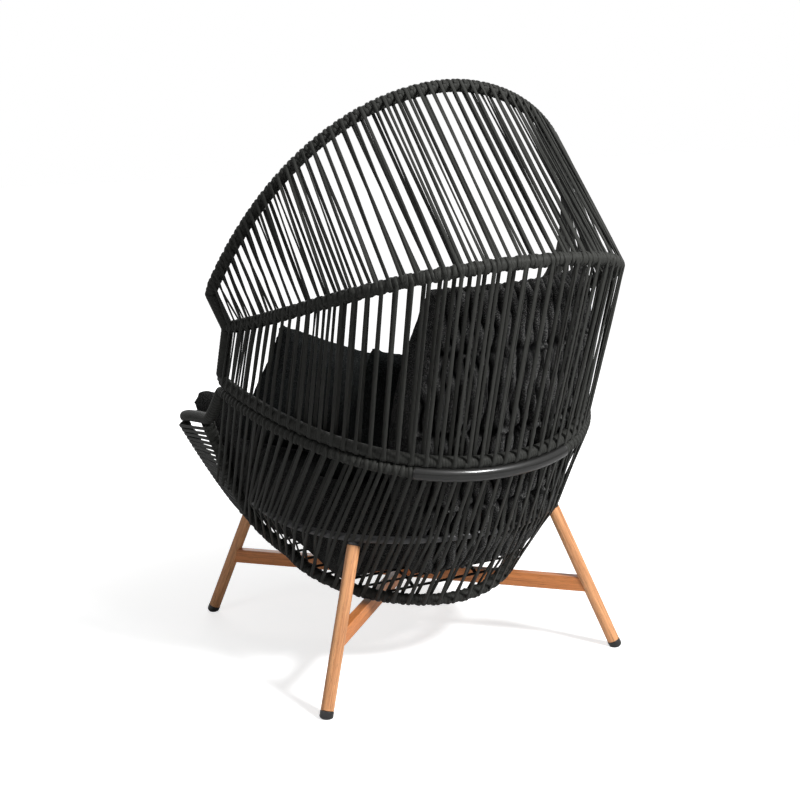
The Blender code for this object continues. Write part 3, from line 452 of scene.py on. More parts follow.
# Hood strands: flat cord taken from the arch over the back rail and back, one pass on the outside
# and one on the inside at each turn, so that the passes run in close pairs and some cross.
STRAP = 0.0084
HOOD_STRAP = 0.0074
STRAP_DEPTH = 0.0036
STRAP_SHAPE = np.array([(1, .2), (.78, .75), (0, 1.1), (-.78, .75), (-1, .2),
                        (-1, -.2), (-.78, -.75), (0, -1.1), (.78, -.75), (1, -.2)])
ON_TUBE = 0.0125
HOLD_ANGLE = math.radians(200)
SLIP = 0.006
ARC_STEPS = 9
RUN_STEPS = 15
HOOD_PITCH = 0.0232
HOOD_MARGIN = 0.02
HOOD_SWAY = 0.022
HOOD_STRAY = 0.0016
RAIL_MARGIN = 0.016
HEART = np.array([0.0, -0.085, 0.55])
chance = np.random.default_rng(7)


def turned_ends(hold, tangent, run, face, slip, first):
    """Half a turn round a tube: centre + radius (face cos a + away sin a) + tangent slip a / pi."""
    face = unit(np.cross(tangent, run)) * face[:, None]
    away = unit(np.cross(tangent, face))
    toward = run if first else -run
    away = away * -np.sign(dots(away, toward))[:, None]
    angle = np.linspace(0.0, 1.0, ARC_STEPS) * HOLD_ANGLE
    slid = tangent[:, None] * (slip * angle / math.pi)[:, None]
    points = hold[:, None] + ON_TUBE * spokes(face, away, angle) + slid
    widths = np.broadcast_to(tangent[:, None], points.shape)
    return (points[:, ::-1], widths[:, ::-1]) if first else (points, widths)


def outward(tangent, run, hold):
    """Plus or minus one, so that tangent x run points away from the chair's heart."""
    return np.sign(dots(np.cross(tangent, run), hold - HEART))


def strung(name, nodes, top_end, low_end, inside, bend=None, twist=0.5, width=STRAP, slack=0.0012):
    """Strands from one tube to another: half turns at both ends and a straight, twisting run.

    An end is its points and the tube's directions there. A run bows by up to slack, turns by up
    to twist, and goes over its bend point where one is given.
    """
    top, top_way = top_end
    low, low_way = low_end
    count = len(top)
    run = unit(low - top)
    flip = -1.0 if inside else 1.0
    top_face = outward(top_way, run, top)
    low_face = outward(low_way, run, low)
    start, start_width = turned_ends(top, top_way, run, top_face * flip, SLIP, True)
    finish, finish_width = turned_ends(low, low_way, run, low_face * flip, -SLIP, False)
    a, b = start[:, -1], finish[:, 0]
    t = np.linspace(0.0, 1.0, RUN_STEPS + 2)[1:-1]
    if bend is None:
        middle = a[:, None] * (1 - t)[:, None] + b[:, None] * t[:, None]
    else:
        over, under = (np.linalg.norm(leg, axis=1)[:, None] for leg in (bend - a, b - bend))
        share = over / (over + under)
        early = a[:, None] + (bend - a)[:, None] * (t / share)[..., None]
        late = bend[:, None] + (b - bend)[:, None] * ((t - share) / (1 - share))[..., None]
        middle = np.where((t < share)[..., None], early, late)
    sway = chance.uniform(-1, 1, (count, 2)) * slack
    bow = np.sin(math.pi * t)
    face = unit(np.cross(top_way, run)) * top_face[:, None]
    middle = middle + (sway[:, :1] * bow)[..., None] * top_way[:, None]
    middle = middle + (sway[:, 1:] * bow)[..., None] * face[:, None]
    along_both = dots(top_way, run) * dots(low_way, run)
    same = np.sign(dots(top_way, low_way) - along_both)[:, None]
    plain = top_way[:, None] * (1 - t)[:, None] + (low_way * same)[:, None] * t[:, None]
    across = unit(np.cross(plain, run[:, None]))
    turn = (chance.uniform(-1, 1, (count, 1)) * twist * bow ** 0.7
            + chance.uniform(-1, 1, (count, 1)) * twist * 0.6 * np.sin(2 * math.pi * t))
    plain = unit(plain) * np.cos(turn)[..., None] + across * np.sin(turn)[..., None]
    centre = np.concatenate([start, middle, finish], axis=1)
    side = np.concatenate([start_width, plain, finish_width * same[:, None]], axis=1)
    way = unit(np.gradient(centre, axis=1))
    side = unit(side - way * dots(side, way)[..., None])
    thick = np.cross(way, side)
    shape = STRAP_SHAPE * (width / 2, STRAP_DEPTH / 2)
    grid = centre[:, :, None] + side[:, :, None] * shape[:, :1] + thick[:, :, None] * shape[:, 1:]
    steps = np.linalg.norm(np.diff(centre, axis=1), axis=2)
    length = np.pad(np.cumsum(steps, axis=1), ((0, 0), (1, 0)))
    store = np.stack(np.broadcast_arrays(length[..., None], STRAP_SHAPE[:, 0] * 0.5 + 0.5,
                                         chance.uniform(0, 40, (count, 1, 1))), axis=-1)
    made = tubes(name, grid, store)
    cord.on(made)
    dress(made, "cord", *nodes)


def places(path, distance):
    """Points and directions of a path at running lengths."""
    reach = 0.004
    total = run_of(path)[-1]
    ahead = point_at(path, np.clip(distance + reach, 0, total))
    behind = point_at(path, np.clip(distance - reach, 0, total))
    return point_at(path, distance), unit(ahead - behind)


def spread(count, total, margin):
    """Shares of a length at the middles of equal turns, with a margin left at both ends."""
    return (margin + (np.arange(count) + 0.5) * (total - 2 * margin) / count) / total


def panel(base):
    """The two layers of a panel: name, whether it is the inner one, and the nodes it stands for."""
    nodes = ["%s_cords_%02d" % (base, k + 1) for k in range(6)]
    return ((base + "_strands_outer", False, nodes), (base + "_strands_inner", True, nodes[2:4]))


arch_total = run_of(arch_path)[-1]
rail_total = run_of(rail_path)[-1]
turns = int((arch_total - 2 * HOOD_MARGIN) / HOOD_PITCH)
share = spread(turns, arch_total, HOOD_MARGIN)
lean = share + HOOD_SWAY * np.sin(2 * math.pi * share)
stray = chance.uniform(-1, 1, (2, turns)) * HOOD_STRAY
outer_top = share * arch_total + stray[0]
outer_low = lean * rail_total + stray[1]
crossing = chance.uniform(0.1, 0.75, turns) * HOOD_PITCH
inner_top = outer_top + 0.30 * HOOD_PITCH
inner_low = np.clip(outer_low - 0.35 * HOOD_PITCH + crossing, RAIL_MARGIN, rail_total - RAIL_MARGIN)
for name, inside, nodes in panel("hood"):
    tops, lows = (inner_top, inner_low) if inside else (outer_top, outer_low)
    strung(name, nodes, places(arch_path, tops), places(rail_path, lows), inside, twist=1.1,
           width=HOOD_STRAP)

# Back strands: the same cord strung down from the back rail to the seam tube, a little further
# apart, again in pairs that lie outside and inside the two tubes.
BACK_PITCH = 0.0298
BACK_MARGIN = 0.025
BACK_STRAY = 0.0018
BACK_SLIDE = 0.32 * BACK_PITCH
SEAM_MARGIN = 0.012
upper_total = run_of(upper_path)[-1]
turns = int((rail_total - 2 * BACK_MARGIN) / BACK_PITCH)
share = spread(turns, rail_total, BACK_MARGIN)
stray = chance.uniform(-1, 1, (4, turns)) * BACK_STRAY
for name, inside, nodes in panel("back"):
    pick = stray[2:] if inside else stray[:2]
    slide = BACK_SLIDE if inside else 0.0
    tops = np.clip(share * rail_total + slide + pick[0], RAIL_MARGIN, rail_total - RAIL_MARGIN)
    lows = np.clip(share * upper_total + slide * 0.6 + pick[1], SEAM_MARGIN, upper_total - SEAM_MARGIN)
    strung(name, nodes, places(rail_path, tops), places(upper_path, lows), inside, twist=0.55)

# Flank winding: where the side panel's strands end in front, a wound rib from the lower hoop up to
# the bend of the arm. The hoop itself goes on to the lip's corner.
FLANK_FOOT = 0.62
FLANK_BOW = (0.012, -0.004, -0.012)
FLANK_HEAD = (0.400, -0.186, 0.522)
FLANK_CREST = 0.0118
right_half = hoop_path[len(hoop_path) // 2:]
flank_foot = point_at(right_half, FLANK_FOOT)
flank_head = shifted(FLANK_HEAD)[0]
flank_bend = (flank_foot + flank_head) / 2 + FLANK_BOW
t = np.linspace(0.0, 1.0, 40)[:, None]
flank_half = (1 - t) ** 2 * flank_foot + 2 * t * (1 - t) * flank_bend + t ** 2 * flank_head
flank_run = run_of(flank_half)[-1]
for side, way in SIDES:
    wound("flank_winding_" + side, even(flank_half * [way, 1.0, 1.0], STEP), BACK, COMMON_TURN,
          crest=FLANK_CREST)

# Basket strands: from the rim tube down over the hidden leg ring to the lower hoop and the flank
# ribs. The ring gives the basket its belly.
BASKET_PITCH = 0.0292
BASKET_SLIDE = 0.45 * BASKET_PITCH
BASKET_STRAY = 0.0014
SIDE_REACH = 0.95
RING_LIFT = 0.0098
RIM_MARKS = (0.0, 0.410, 0.540, 0.740)
LOW_MARKS = (0.0, 0.455, 0.620, 0.815)


def over_ring(a, b):
    """Where straight lines from a to b cross the leg ring, moved out to rest on it."""
    ring = even(ring_path, 0.004)
    run = unit(b - a)
    away = ring[None] - a[:, None]
    foot = dots(away, run[:, None])
    apart = np.linalg.norm(away - foot[..., None] * run[:, None], axis=2)
    best = apart.argmin(axis=1)
    out = unit(np.cross(unit(np.gradient(ring, axis=0))[best], run))
    out = out * np.sign(dots(out, ring[best] - HEART))[:, None]
    straight = a + run * foot[np.arange(len(a)), best][:, None]
    need = np.maximum(0.0, RING_LIFT - dots(straight - ring[best], out))
    return straight + out * need[:, None]


low_half = np.vstack([part_of(right_half, 0.0, FLANK_FOOT), flank_half[1:]])
low_path = even(both_sides(low_half), STEP)
low_middle = run_of(low_path)[-1] / 2
rim_reach = seam_run * SIDE_REACH
turns = 2 * int(rim_reach / BASKET_PITCH)
share = (np.arange(turns) + 0.5) / turns * 2 - 1
stray = chance.uniform(-1, 1, (4, turns)) * BASKET_STRAY
for name, inside, nodes in panel("basket"):
    pick = stray[2:] if inside else stray[:2]
    slide = BASKET_SLIDE if inside else 0.0
    tops = np.clip(share * rim_reach + slide, -rim_reach, rim_reach)
    lows = np.sign(tops) * np.interp(np.abs(tops), RIM_MARKS, LOW_MARKS)
    top, top_way = places(rim_path, rim_mid + tops + pick[0])
    low, low_way = places(low_path, low_middle + lows + pick[1])
    run = unit(low - top)
    proud = -ON_TUBE if inside else ON_TUBE
    a = top + unit(np.cross(top_way, run)) * (outward(top_way, run, top) * proud)[:, None]
    b = low + unit(np.cross(low_way, run)) * (outward(low_way, run, low) * proud)[:, None]
    strung(name, nodes, (top, top_way), (low, low_way), inside, over_ring(a, b), twist=0.25,
           slack=0.0006)

# Corner strands: they close the corners in front of the flank ribs, from each rib forward to the
# hoop, in slightly wider cord.
CORNER_STRAP = 0.0092
CORNER_SHARES = np.linspace(0.10, 0.985, 20)
CORNER_MARKS = (0.690, 0.945)
for side, way in SIDES:
    rib = even(flank_half * [way, 1.0, 1.0], STEP)
    hoop = right_half * [way, 1.0, 1.0]
    marks = np.interp(CORNER_SHARES, (0.0, 1.0), CORNER_MARKS)
    nodes = ["basket_cords_01" if way < 0 else "basket_cords_06"]
    strung("corner_strands_" + side, nodes, places(rib, CORNER_SHARES * flank_run),
           places(hoop, marks), False, twist=0.2, width=CORNER_STRAP)

# Front strands: from the front lip down to the ring's front bar, closing the basket under the
# knees. The bar is wound where they hold it.
BAR_HALF = 0.215
BAR_CREST = 0.011
FRONT_TURNS = 27
FRONT_MARGIN = 0.07
bar_path = shifted((BAR_HALF, -.285, .346), (-BAR_HALF, -.285, .346))
wound("front_bar_winding", bar_path, UP, COMMON_TURN, crest=BAR_CREST)
share = spread(FRONT_TURNS, 1.0, FRONT_MARGIN)
strung("front_strands", ["front_cords"], places(lip_path, share * run_of(lip_path)[-1]),
       places(bar_path, share * 2 * BAR_HALF), False, twist=0.25)

# Floor strands: cord drawn straight across the lower hoop, with two that run fore and aft over
# them. The seat cushion lies on them.
FLOOR_TURNS = 13
FLOOR_REACH = (0.205, -0.240)
TIE_PLACE = 0.08
TIE_WEAVE = 0.012
TIE_SHAPE = np.array([(1, .35), (.82, 1), (-.82, 1), (-1, .35),
                      (-1, -.35), (-.82, -1), (.82, -1), (1, -.35)])
floor_y = np.linspace(*FLOOR_REACH, FLOOR_TURNS) + SHIFT_Y
order = np.argsort(right_half[:, 1])
at_y = np.interp(floor_y, right_half[order, 1], run_of(right_half)[order])
right, right_way = places(right_half, at_y)
strung("floor_strands", ["floor_cords"], (right, right_way), (right * MIRROR, right_way * MIRROR),
       True, twist=0.2)
over_under = np.where(np.arange(FLOOR_TURNS) % 2, 1, 0.4)
for side, way in SIDES:
    across = np.full(FLOOR_TURNS, way * TIE_PLACE)
    line = np.column_stack([across, floor_y, right[:, 2] + TIE_WEAVE * over_under])
    line = softened(line[:-1], 0.004, 0.02)
    out, rise = directions(line, UP)
    shape = TIE_SHAPE * (STRAP / 2, STRAP_DEPTH / 2)
    grid = line[:, None] + out[:, None] * shape[:, :1] + rise[:, None] * shape[:, 1:]
    store = np.stack(np.broadcast_arrays(run_of(line)[:, None], shape[:, 0] * 57 + 0.5, 3.0), axis=-1)
    tie = tubes("floor_tie_" + side, grid[None], store[None])
    cord.on(tie)
    dress(tie, "cord", "floor_cords")

# Rear rim sleeve: a smooth half-gloss sleeve drawn over the rim's winding at the back, with a
# joint at each end. It hides where the upper body is bolted to the basket.
SLEEVE = 0.0152
SLEEVE_REACH = (-0.170, 0.190)
sleeve_look = Look("smooth black sleeve", Specular_IOR_Level=0.15, Coat_Weight=0.40,
                   Coat_Roughness=0.14)
grain = sleeve_look.mottled(260.0, 3.0, (0.008, 0.008, 0.008), (0.014, 0.014, 0.013), 0.4)
sleeve_look.set("Roughness", grain * 0.15 + 0.30)
sleeve_path = part_of(rim_path, rim_mid + SLEEVE_REACH[0], rim_mid + SLEEVE_REACH[1])
sleeve = round_tube("rear_rim_sleeve", even(sleeve_path, 0.005), SLEEVE, UP, 28)
sleeve_look.on(sleeve)
dress(sleeve, "cord")

# Legs: round teak, 28 mm thick, splayed to the corners, with softened ends. Each head is bored for
# the socket's spigot.
LEG = 0.014
LEG_EDGE = 0.0015
LEG_FOOT = (0.3635, 0.3573)
LEG_HEAD = (0.2486, 0.2772, 0.3288)
LEG_CENTRE = -0.015
CAP_TOP = 0.015
FIT = 0.0003
AXIS = 0.0005
CORNERS = {"front_left": (-1, -1), "front_right": (1, -1), "rear_left": (-1, 1), "rear_right": (1, 1)}


def teak_look(name, light, dark):
    """Oiled teak: fine streaks stretched along the grain, broad bands and open pores."""
    look = Look(name)
    base = look.stored("lay")
    streak = look.noise(look.drawn(base, (5.0, 190.0, 190.0)), 1.0, 6.0, 0.62)
    band = look.noise(look.drawn(base, (3.0, 60.0, 60.0)), 1.0, 3.0)
    pore = look.noise(look.drawn(base, (34.0, 900.0, 900.0)), 1.0, 2.0)
    tone = look.node("ShaderNodeValToRGB", {"stops": ((0.30, dark), (0.56, light))},
                     {0: streak * 0.62 + band * 0.38})
    pores = (pore - 0.62).above(0.0) * 0.55
    look.set("Base Color", look.blend(pores, tone, tuple(0.45 * c for c in dark)))
    look.set("Roughness", streak * -0.18 + 0.52)
    look.relief(streak * 0.5 - pores, 0.0003, 0.5)
    return look


leg_teak = teak_look("oiled teak, round", (0.76, 0.375, 0.170), (0.36, 0.135, 0.048))


def turned(name, profile, foot, axis):
    """A turned body: profile rows (radius, height) swept round the axis; lay holds height and round."""
    across = unit(np.cross(axis, BACK))
    rows = np.array(profile, float)
    angle = full_circle(48)
    spoke = spokes(across, np.cross(axis, across), angle)
    grid = foot + axis * rows[:, 1, None, None] + rows[:, 0, None, None] * spoke
    flat = np.stack([np.cos(angle), np.sin(angle)], axis=-1) * rows[:, 0, None, None]
    height = np.broadcast_to(rows[:, 1, None, None], flat.shape[:2] + (1,))
    own_grain = np.array([foot[0] * 9, foot[0], foot[1]])
    store = np.concatenate([height, flat], axis=-1) + own_grain
    return tubes(name, grid[None], store[None])


def round_edge(radius, height, edge, way):
    """Profile rows of a rounded rim: a quarter circle from the face to the side, or back."""
    angle = np.linspace(0.0, math.pi / 2, 5)
    rows = [(radius - edge + edge * math.sin(a), height + way * edge * (1 - math.cos(a))) for a in angle]
    return rows if way > 0 else rows[::-1]


def leg_lines(sx, sy):
    """A leg's foot, its head and the way up it."""
    foot = shifted((sx * LEG_FOOT[0], LEG_CENTRE + sy * LEG_FOOT[1], 0.0))[0]
    head = shifted((sx * LEG_HEAD[0], LEG_CENTRE + sy * LEG_HEAD[1], LEG_HEAD[2]))[0]
    return foot, head, unit(head - foot)


LEGS = {corner: leg_lines(sx, sy) for corner, (sx, sy) in CORNERS.items()}
for corner, (foot, head, up) in LEGS.items():
    height = np.linalg.norm(head - foot)
    butt = CAP_TOP + FIT
    body = [(LEG, h) for h in np.linspace(CAP_TOP + 2 * LEG_EDGE, height - 2 * LEG_EDGE, 40)]
    profile = ([(AXIS, butt)] + round_edge(LEG, butt, LEG_EDGE, 1) + body
               + round_edge(LEG, height, LEG_EDGE, -1) + [(AXIS, height)])
    leg = turned("teak_leg_" + corner, profile, foot, up)
    leg_teak.on(leg)
    dress(leg, "teak", "leg_" + corner)

# Sockets: short black collars between the hidden leg ring and the legs' heads, each with a spigot
# that is bolted into the leg.
COLLAR = 0.0134
COLLAR_TOP = 0.0128
COLLAR_SHORT = 0.004
for corner, (foot, head, up) in LEGS.items():
    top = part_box("socket_" + corner)[1][2]
    reach = (top - head[2]) / up[2] - COLLAR_SHORT
    profile = ([(AXIS, FIT)] + round_edge(COLLAR, FIT, 0.0008, 1)
               + round_edge(COLLAR_TOP, reach, 0.0016, -1) + [(AXIS, reach)])
    socket = turned("collar_" + corner, profile, head, up)
    coat.on(socket)
    dress(socket, "frame_tube", "socket_" + corner)

# Foot caps: black plastic, domed, pushed over the legs' ends, with a flat where they stand. The
# flat is cut level at the floor.
CAP = 0.0146
CAP_SINK = -0.004
CAP_DOME = 0.008
plastic = Look("black foot plastic", Roughness=0.34)
plastic.mottled(420.0, 3.0, (0.006, 0.006, 0.006), (0.014, 0.014, 0.014), 0.4)


def spots_of(mesh):
    """The points of a mesh."""
    spots = np.empty(len(mesh.vertices) * 3)
    mesh.vertices.foreach_get("co", spots)
    return spots.reshape(-1, 3)


def moved_to(mesh, spots):
    """The mesh's points put at new places."""
    mesh.vertices.foreach_set("co", spots.reshape(-1))
    mesh.update()


for corner, (foot, head, up) in LEGS.items():
    dome = [(CAP * math.sin(a), CAP_SINK + CAP_DOME * (1 - math.cos(a)))
            for a in np.linspace(0.12, math.pi / 2, 12)]
    profile = [(AXIS, CAP_SINK)] + dome + round_edge(CAP, CAP_TOP, 0.0010, -1) + [(AXIS, CAP_TOP)]
    cap = turned("domed_cap_" + corner, profile, foot, up)
    spots = spots_of(cap.data)
    spots[:, 2] = np.maximum(spots[:, 2], 0.0)
    moved_to(cap.data, spots)
    plastic.on(cap)
    dress(cap, "foot_plastic", "foot_cap_" + corner)

# Stretchers: two flat teak bars on the diagonals, half-lapped where they cross and coped to the
# legs, with eased edges. A bolt holds the cross.
BAR_EASE = 0.0012
BAR_RUN = (0.3115, 0.3209)
CROSS_HEIGHT = 0.149
BOLT_PROFILE = ((AXIS, -.0203), (.0060, -.0203), (.0073, -.0196), (.0075, -.0188),
                (.0075, -.0168), (.0040, -.0168), (.0040, .0160), (AXIS, .0163))
bar_teak = teak_look("oiled teak, flat bars", (0.62, 0.225, 0.066), (0.34, 0.105, 0.026))
for node, way in (("stretcher_left_front", 1), ("stretcher_right_front", -1)):
    work = bmesh.new()
    work.from_mesh(bpy.data.objects[node].data)
    bmesh.ops.remove_doubles(work, verts=work.verts, dist=1e-5)
    bmesh.ops.dissolve_limit(work, angle_limit=math.radians(2.0), verts=work.verts, edges=work.edges)
    sharp = [e for e in work.edges if len(e.link_faces) == 2 and e.calc_face_angle() > math.radians(60.0)]
    bmesh.ops.bevel(work, geom=sharp, offset=BAR_EASE, segments=3, profile=0.6, affect="EDGES",
                    clamp_overlap=True)
    bmesh.ops.recalc_face_normals(work, faces=work.faces)
    mesh = bpy.data.meshes.new(node.replace("stretcher", "flat_bar"))
    work.to_mesh(mesh)
    work.free()
    x, y, z = spots_of(mesh).T
    turn = math.atan2(way * BAR_RUN[1], BAR_RUN[0])
    along = x * math.cos(turn) + y * math.sin(turn) + way
    store_lay(mesh, np.column_stack([along, y * math.cos(turn) - x * math.sin(turn), z]))
    smooth(mesh)
    mesh.set_sharp_from_angle(angle=math.radians(35.0))
    bar = placed(mesh.name, mesh)
    bar_teak.on(bar)
    dress(bar, "teak_bar", node)
bolt = turned("cross_bolt_head", BOLT_PROFILE, shifted((0.0, LEG_CENTRE, CROSS_HEIGHT))[0], UP)
coat.on(bolt)
dress(bolt, "frame_tube", "cross_bolt")

# Seat cushion: loose, in woven outdoor cloth. It fills the basket: its front edge rises to the
# rim, its sides stand up against the strands and its underside follows the floor strands.
SOFT_STEPS = 48
SOFT_FRAMES = 20
SOFT_PRESSURE = 4.0
THREAD = 3900.0
SEAT = dict(back=0.190, front=-0.396, half_back=0.290, half_front=0.396, lift=0.0180, top=0.400,
            front_top=0.540, edge_back=0.465, edge_front=0.648, squash=0.05, thick_edge=0.045,
            corner=0.045)
SEAT_RISE = 3.5
WALL_FROM = 0.8
WALL_CURVE = 1.3
WALL_LESS = 0.7
SEAT_BOX = 16.0


def stuffed(name, place, voxel, cap):
    """A cushion: a pillow form from middle and half thickness over u, v, blown up as cloth, smoothed."""
    size = SOFT_STEPS + 1
    u, v = np.meshgrid(np.linspace(-1, 1, size), np.linspace(-1, 1, size))
    middle, half = place(u, v)
    corner = np.arange(SOFT_STEPS)[:, None] * size + np.arange(SOFT_STEPS)
    quads = np.stack([corner, corner + 1, corner + size + 1, corner + size], -1).reshape(-1, 4)
    points = np.vstack([(middle + half).reshape(-1, 3), (middle - half).reshape(-1, 3)])
    made = piece_from(name, points, np.vstack([quads, quads[:, ::-1] + size * size]))
    work = bmesh.new()
    work.from_mesh(made.data)
    bmesh.ops.remove_doubles(work, verts=work.verts, dist=1e-5)
    bmesh.ops.recalc_face_normals(work, faces=work.faces)
    work.to_mesh(made.data)
    work.free()

    def settle():
        graph = bpy.context.evaluated_depsgraph_get()
        done = bpy.data.meshes.new_from_object(made.evaluated_get(graph))
        made.modifiers.clear()
        made.data = done

    step = made.modifiers.new("even skin", "REMESH")
    step.mode = "VOXEL"
    step.voxel_size = voxel
    settle()
    before = spots_of(made.data)
    cloth = made.modifiers.new("cloth", "CLOTH")
    air = cloth.settings
    air.use_pressure = True
    air.uniform_pressure_force = SOFT_PRESSURE
    air.effector_weights.gravity = 0.0
    air.quality = 5
    cloth.point_cache.frame_start = 1
    cloth.point_cache.frame_end = SOFT_FRAMES
    for at_frame in range(1, SOFT_FRAMES + 1):
        bpy.context.scene.frame_set(at_frame)
    settle()
    bpy.context.scene.frame_set(1)
    moved = spots_of(made.data) - before
    far = np.linalg.norm(moved, axis=1, keepdims=True)
    moved = moved * np.minimum(1.0, cap / np.maximum(far, 1e-9))
    made.data.vertices.foreach_set("co", (before + moved).reshape(-1))
    step = made.modifiers.new("smooth", "SUBSURF")
    step.levels = step.render_levels = 1
    settle()
    smooth(made.data)
    return made


def cloth_look(name, dark, pale, flecks, crest=None):
    """Woven cloth: crossed threads at 1.6 mm with flecks of paler yarn; where a crest attribute is given,
    the flecks show only on the crests, painted highlight on the crests and painted shade in the valleys
    of the folds.
    """
    look = Look(name, Roughness=0.92, Specular_IOR_Level=0.03)
    base = look.place()
    x, y, z = (look.node("ShaderNodeSeparateXYZ", {}, {0: base}, k) for k in range(3))
    weft = (z * THREAD).sine()
    warp = ((x + y * 0.8) * THREAD).sine()
    weave = (weft * warp).size()
    fleck = look.noise(base, 620.0, 3.0, 0.7)
    cloud = look.noise(base, 26.0, 3.0)
    share = look.node("ShaderNodeMapRange", {}, {0: fleck, 1: 0.48, 2: 0.48 + flecks})
    share = share * 0.80 + cloud * 0.10
    # Painted shade: the crest attribute darkens the colour towards the valleys of the folds and leaves
    # the crests pale.
    if crest:
        share = share * look.stored(crest, "Fac")
    look.set("Base Color", look.blend(share, dark, pale))
    look.relief(weave * 0.5 + fleck, 0.0006, 0.7)
    return look


def between(sizes, first, last, share):
    """The value at a share of the way from one named size to another."""
    return sizes[first] + (sizes[last] - sizes[first]) * share


def filled(u, v, power):
    """Fullness from one in the middle to nought at the seam."""
    return np.sqrt(np.clip(1 - np.abs(u) ** power, 0, 1) * np.clip(1 - np.abs(v) ** power, 0, 1))


def seat_place(u, v):
    """Middle and half thickness of the seat cushion over the unit square."""
    share = (v + 1) / 2
    half_x = between(SEAT, "half_back", "half_front", share)
    x = u * half_x * (1 - SEAT["squash"] * np.abs(v) ** 3 / 2)
    half_y = (SEAT["back"] - SEAT["front"]) / 2
    y = between(SEAT, "back", "front", share)
    y = y + half_y * v * SEAT["squash"] * np.abs(u) ** 3 / 2 + SHIFT_Y
    y = y + SEAT["corner"] * np.clip(v, 0, 1) ** 2 * np.abs(u) ** 5
    base = np.interp(y, right_half[order, 1], right_half[order, 2]) + SEAT["lift"]
    rise = share ** SEAT_RISE
    high = between(SEAT, "top", "front_top", rise)
    edge = between(SEAT, "edge_back", "edge_front", rise)
    wall = np.clip((np.abs(u) - WALL_FROM) / (1 - WALL_FROM), 0, 1) ** WALL_CURVE
    wall = wall * (1 - WALL_LESS * share ** 5)
    base = base + (edge - SEAT["thick_edge"] - base) * wall
    high = high + (edge - high) * np.abs(u) ** 3
    mid = (base + high) / 2
    half = (high - base) / 2 * filled(u, v, SEAT_BOX)
    return np.stack([x, y, mid], -1), np.stack([0 * x, 0 * x, half], -1)


heather = cloth_look("charcoal heather cloth", (0.0030, 0.0030, 0.0032), (0.150, 0.151, 0.148), 0.22)
seat = stuffed("stuffed_seat_cushion", seat_place, 0.0070, 0.006)
heather.on(seat)
dress(seat, "heather_fabric", "seat_cushion")

# Back cushion: bowed to the basket and leaning a little to one side. Its cloth is gathered into
# upright pleats that wander, tied down level in rows, with a plain border.
BACK_SIZE = dict(low=0.240, high=0.885, low_x=-0.020, high_x=-0.100, low_y=0.2870, mid_y=0.3960,
                 high_y=0.4400, half_low=0.145, half_mid=0.262, half_high=0.235, bow=0.118, reach=0.270,
                 depth=0.0500)
PLEAT = 0.0205
PLEAT_DEEP = 0.019
PLEAT_MEAN = 0.8
PLEAT_TIED = 0.55
PLEAT_LEAN = 0.016
LEAN_FROM = 0.055
ROW_SHIFT = PLEAT * 0.37
ROWS = (0.250, 0.415, 0.580, 0.745)
ROW_WIDTH = 0.009
ROW_DEEP = 0.009
KNOT = 0.019
KNOT_WIDTH = 0.007
BORDER = 0.045
# Painted shade in the pleats' valleys: the colour is darkest where a point was pushed 10 mm or more
# inwards and full pale from 3 mm outwards.
VALLEY_SHADE_FROM = 0.01
VALLEY_SHADE_SPAN = 0.013
# Its pale yarn is paler than the seat's and only the crests show it: painted highlight on the crests,
# painted shade in the valleys.
pleated_cloth = cloth_look("charcoal heather cloth, pleated", (0.0030, 0.0030, 0.0032),
                           (0.240, 0.241, 0.236), 0.20, "crest")


def pushed(made, amount):
    """Every point moved along its normal by amount(points, normals), which is given back."""
    spots = spots_of(made.data)
    normals = np.empty(spots.size)
    made.data.vertex_normals.foreach_get("vector", normals)
    normals = normals.reshape(-1, 3)
    height = amount(spots, normals)
    moved_to(made.data, spots + normals * height[:, None])
    return height


def through(low, mid, high, share):
    """The quadratic that passes through three values at shares 0, 1/2 and 1."""
    fall, rise = low * (1 - share) * (1 - 2 * share), high * share * (2 * share - 1)
    return fall + mid * 4 * share * (1 - share) + rise


def back_middle(share):
    """Middle and half width of the back cushion at a share of its height."""
    b = BACK_SIZE
    wide = through(b["half_low"], b["half_mid"], b["half_high"], share)
    return between(b, "low_x", "high_x", share), wide


def back_place(u, v):
    """Middle and half thickness of the back cushion over the unit square."""
    b = BACK_SIZE
    share = (v + 1) / 2
    z = between(b, "low", "high", share)
    centre, wide = back_middle(share)
    x = centre + u * wide
    y = through(b["low_y"], b["mid_y"], b["high_y"], share) - b["bow"] * (x / b["reach"]) ** 2 + SHIFT_Y
    half = b["depth"] * filled(u, v, 4.0)
    return np.stack([x, y, z], -1), np.stack([0 * x, half, 0 * x], -1)


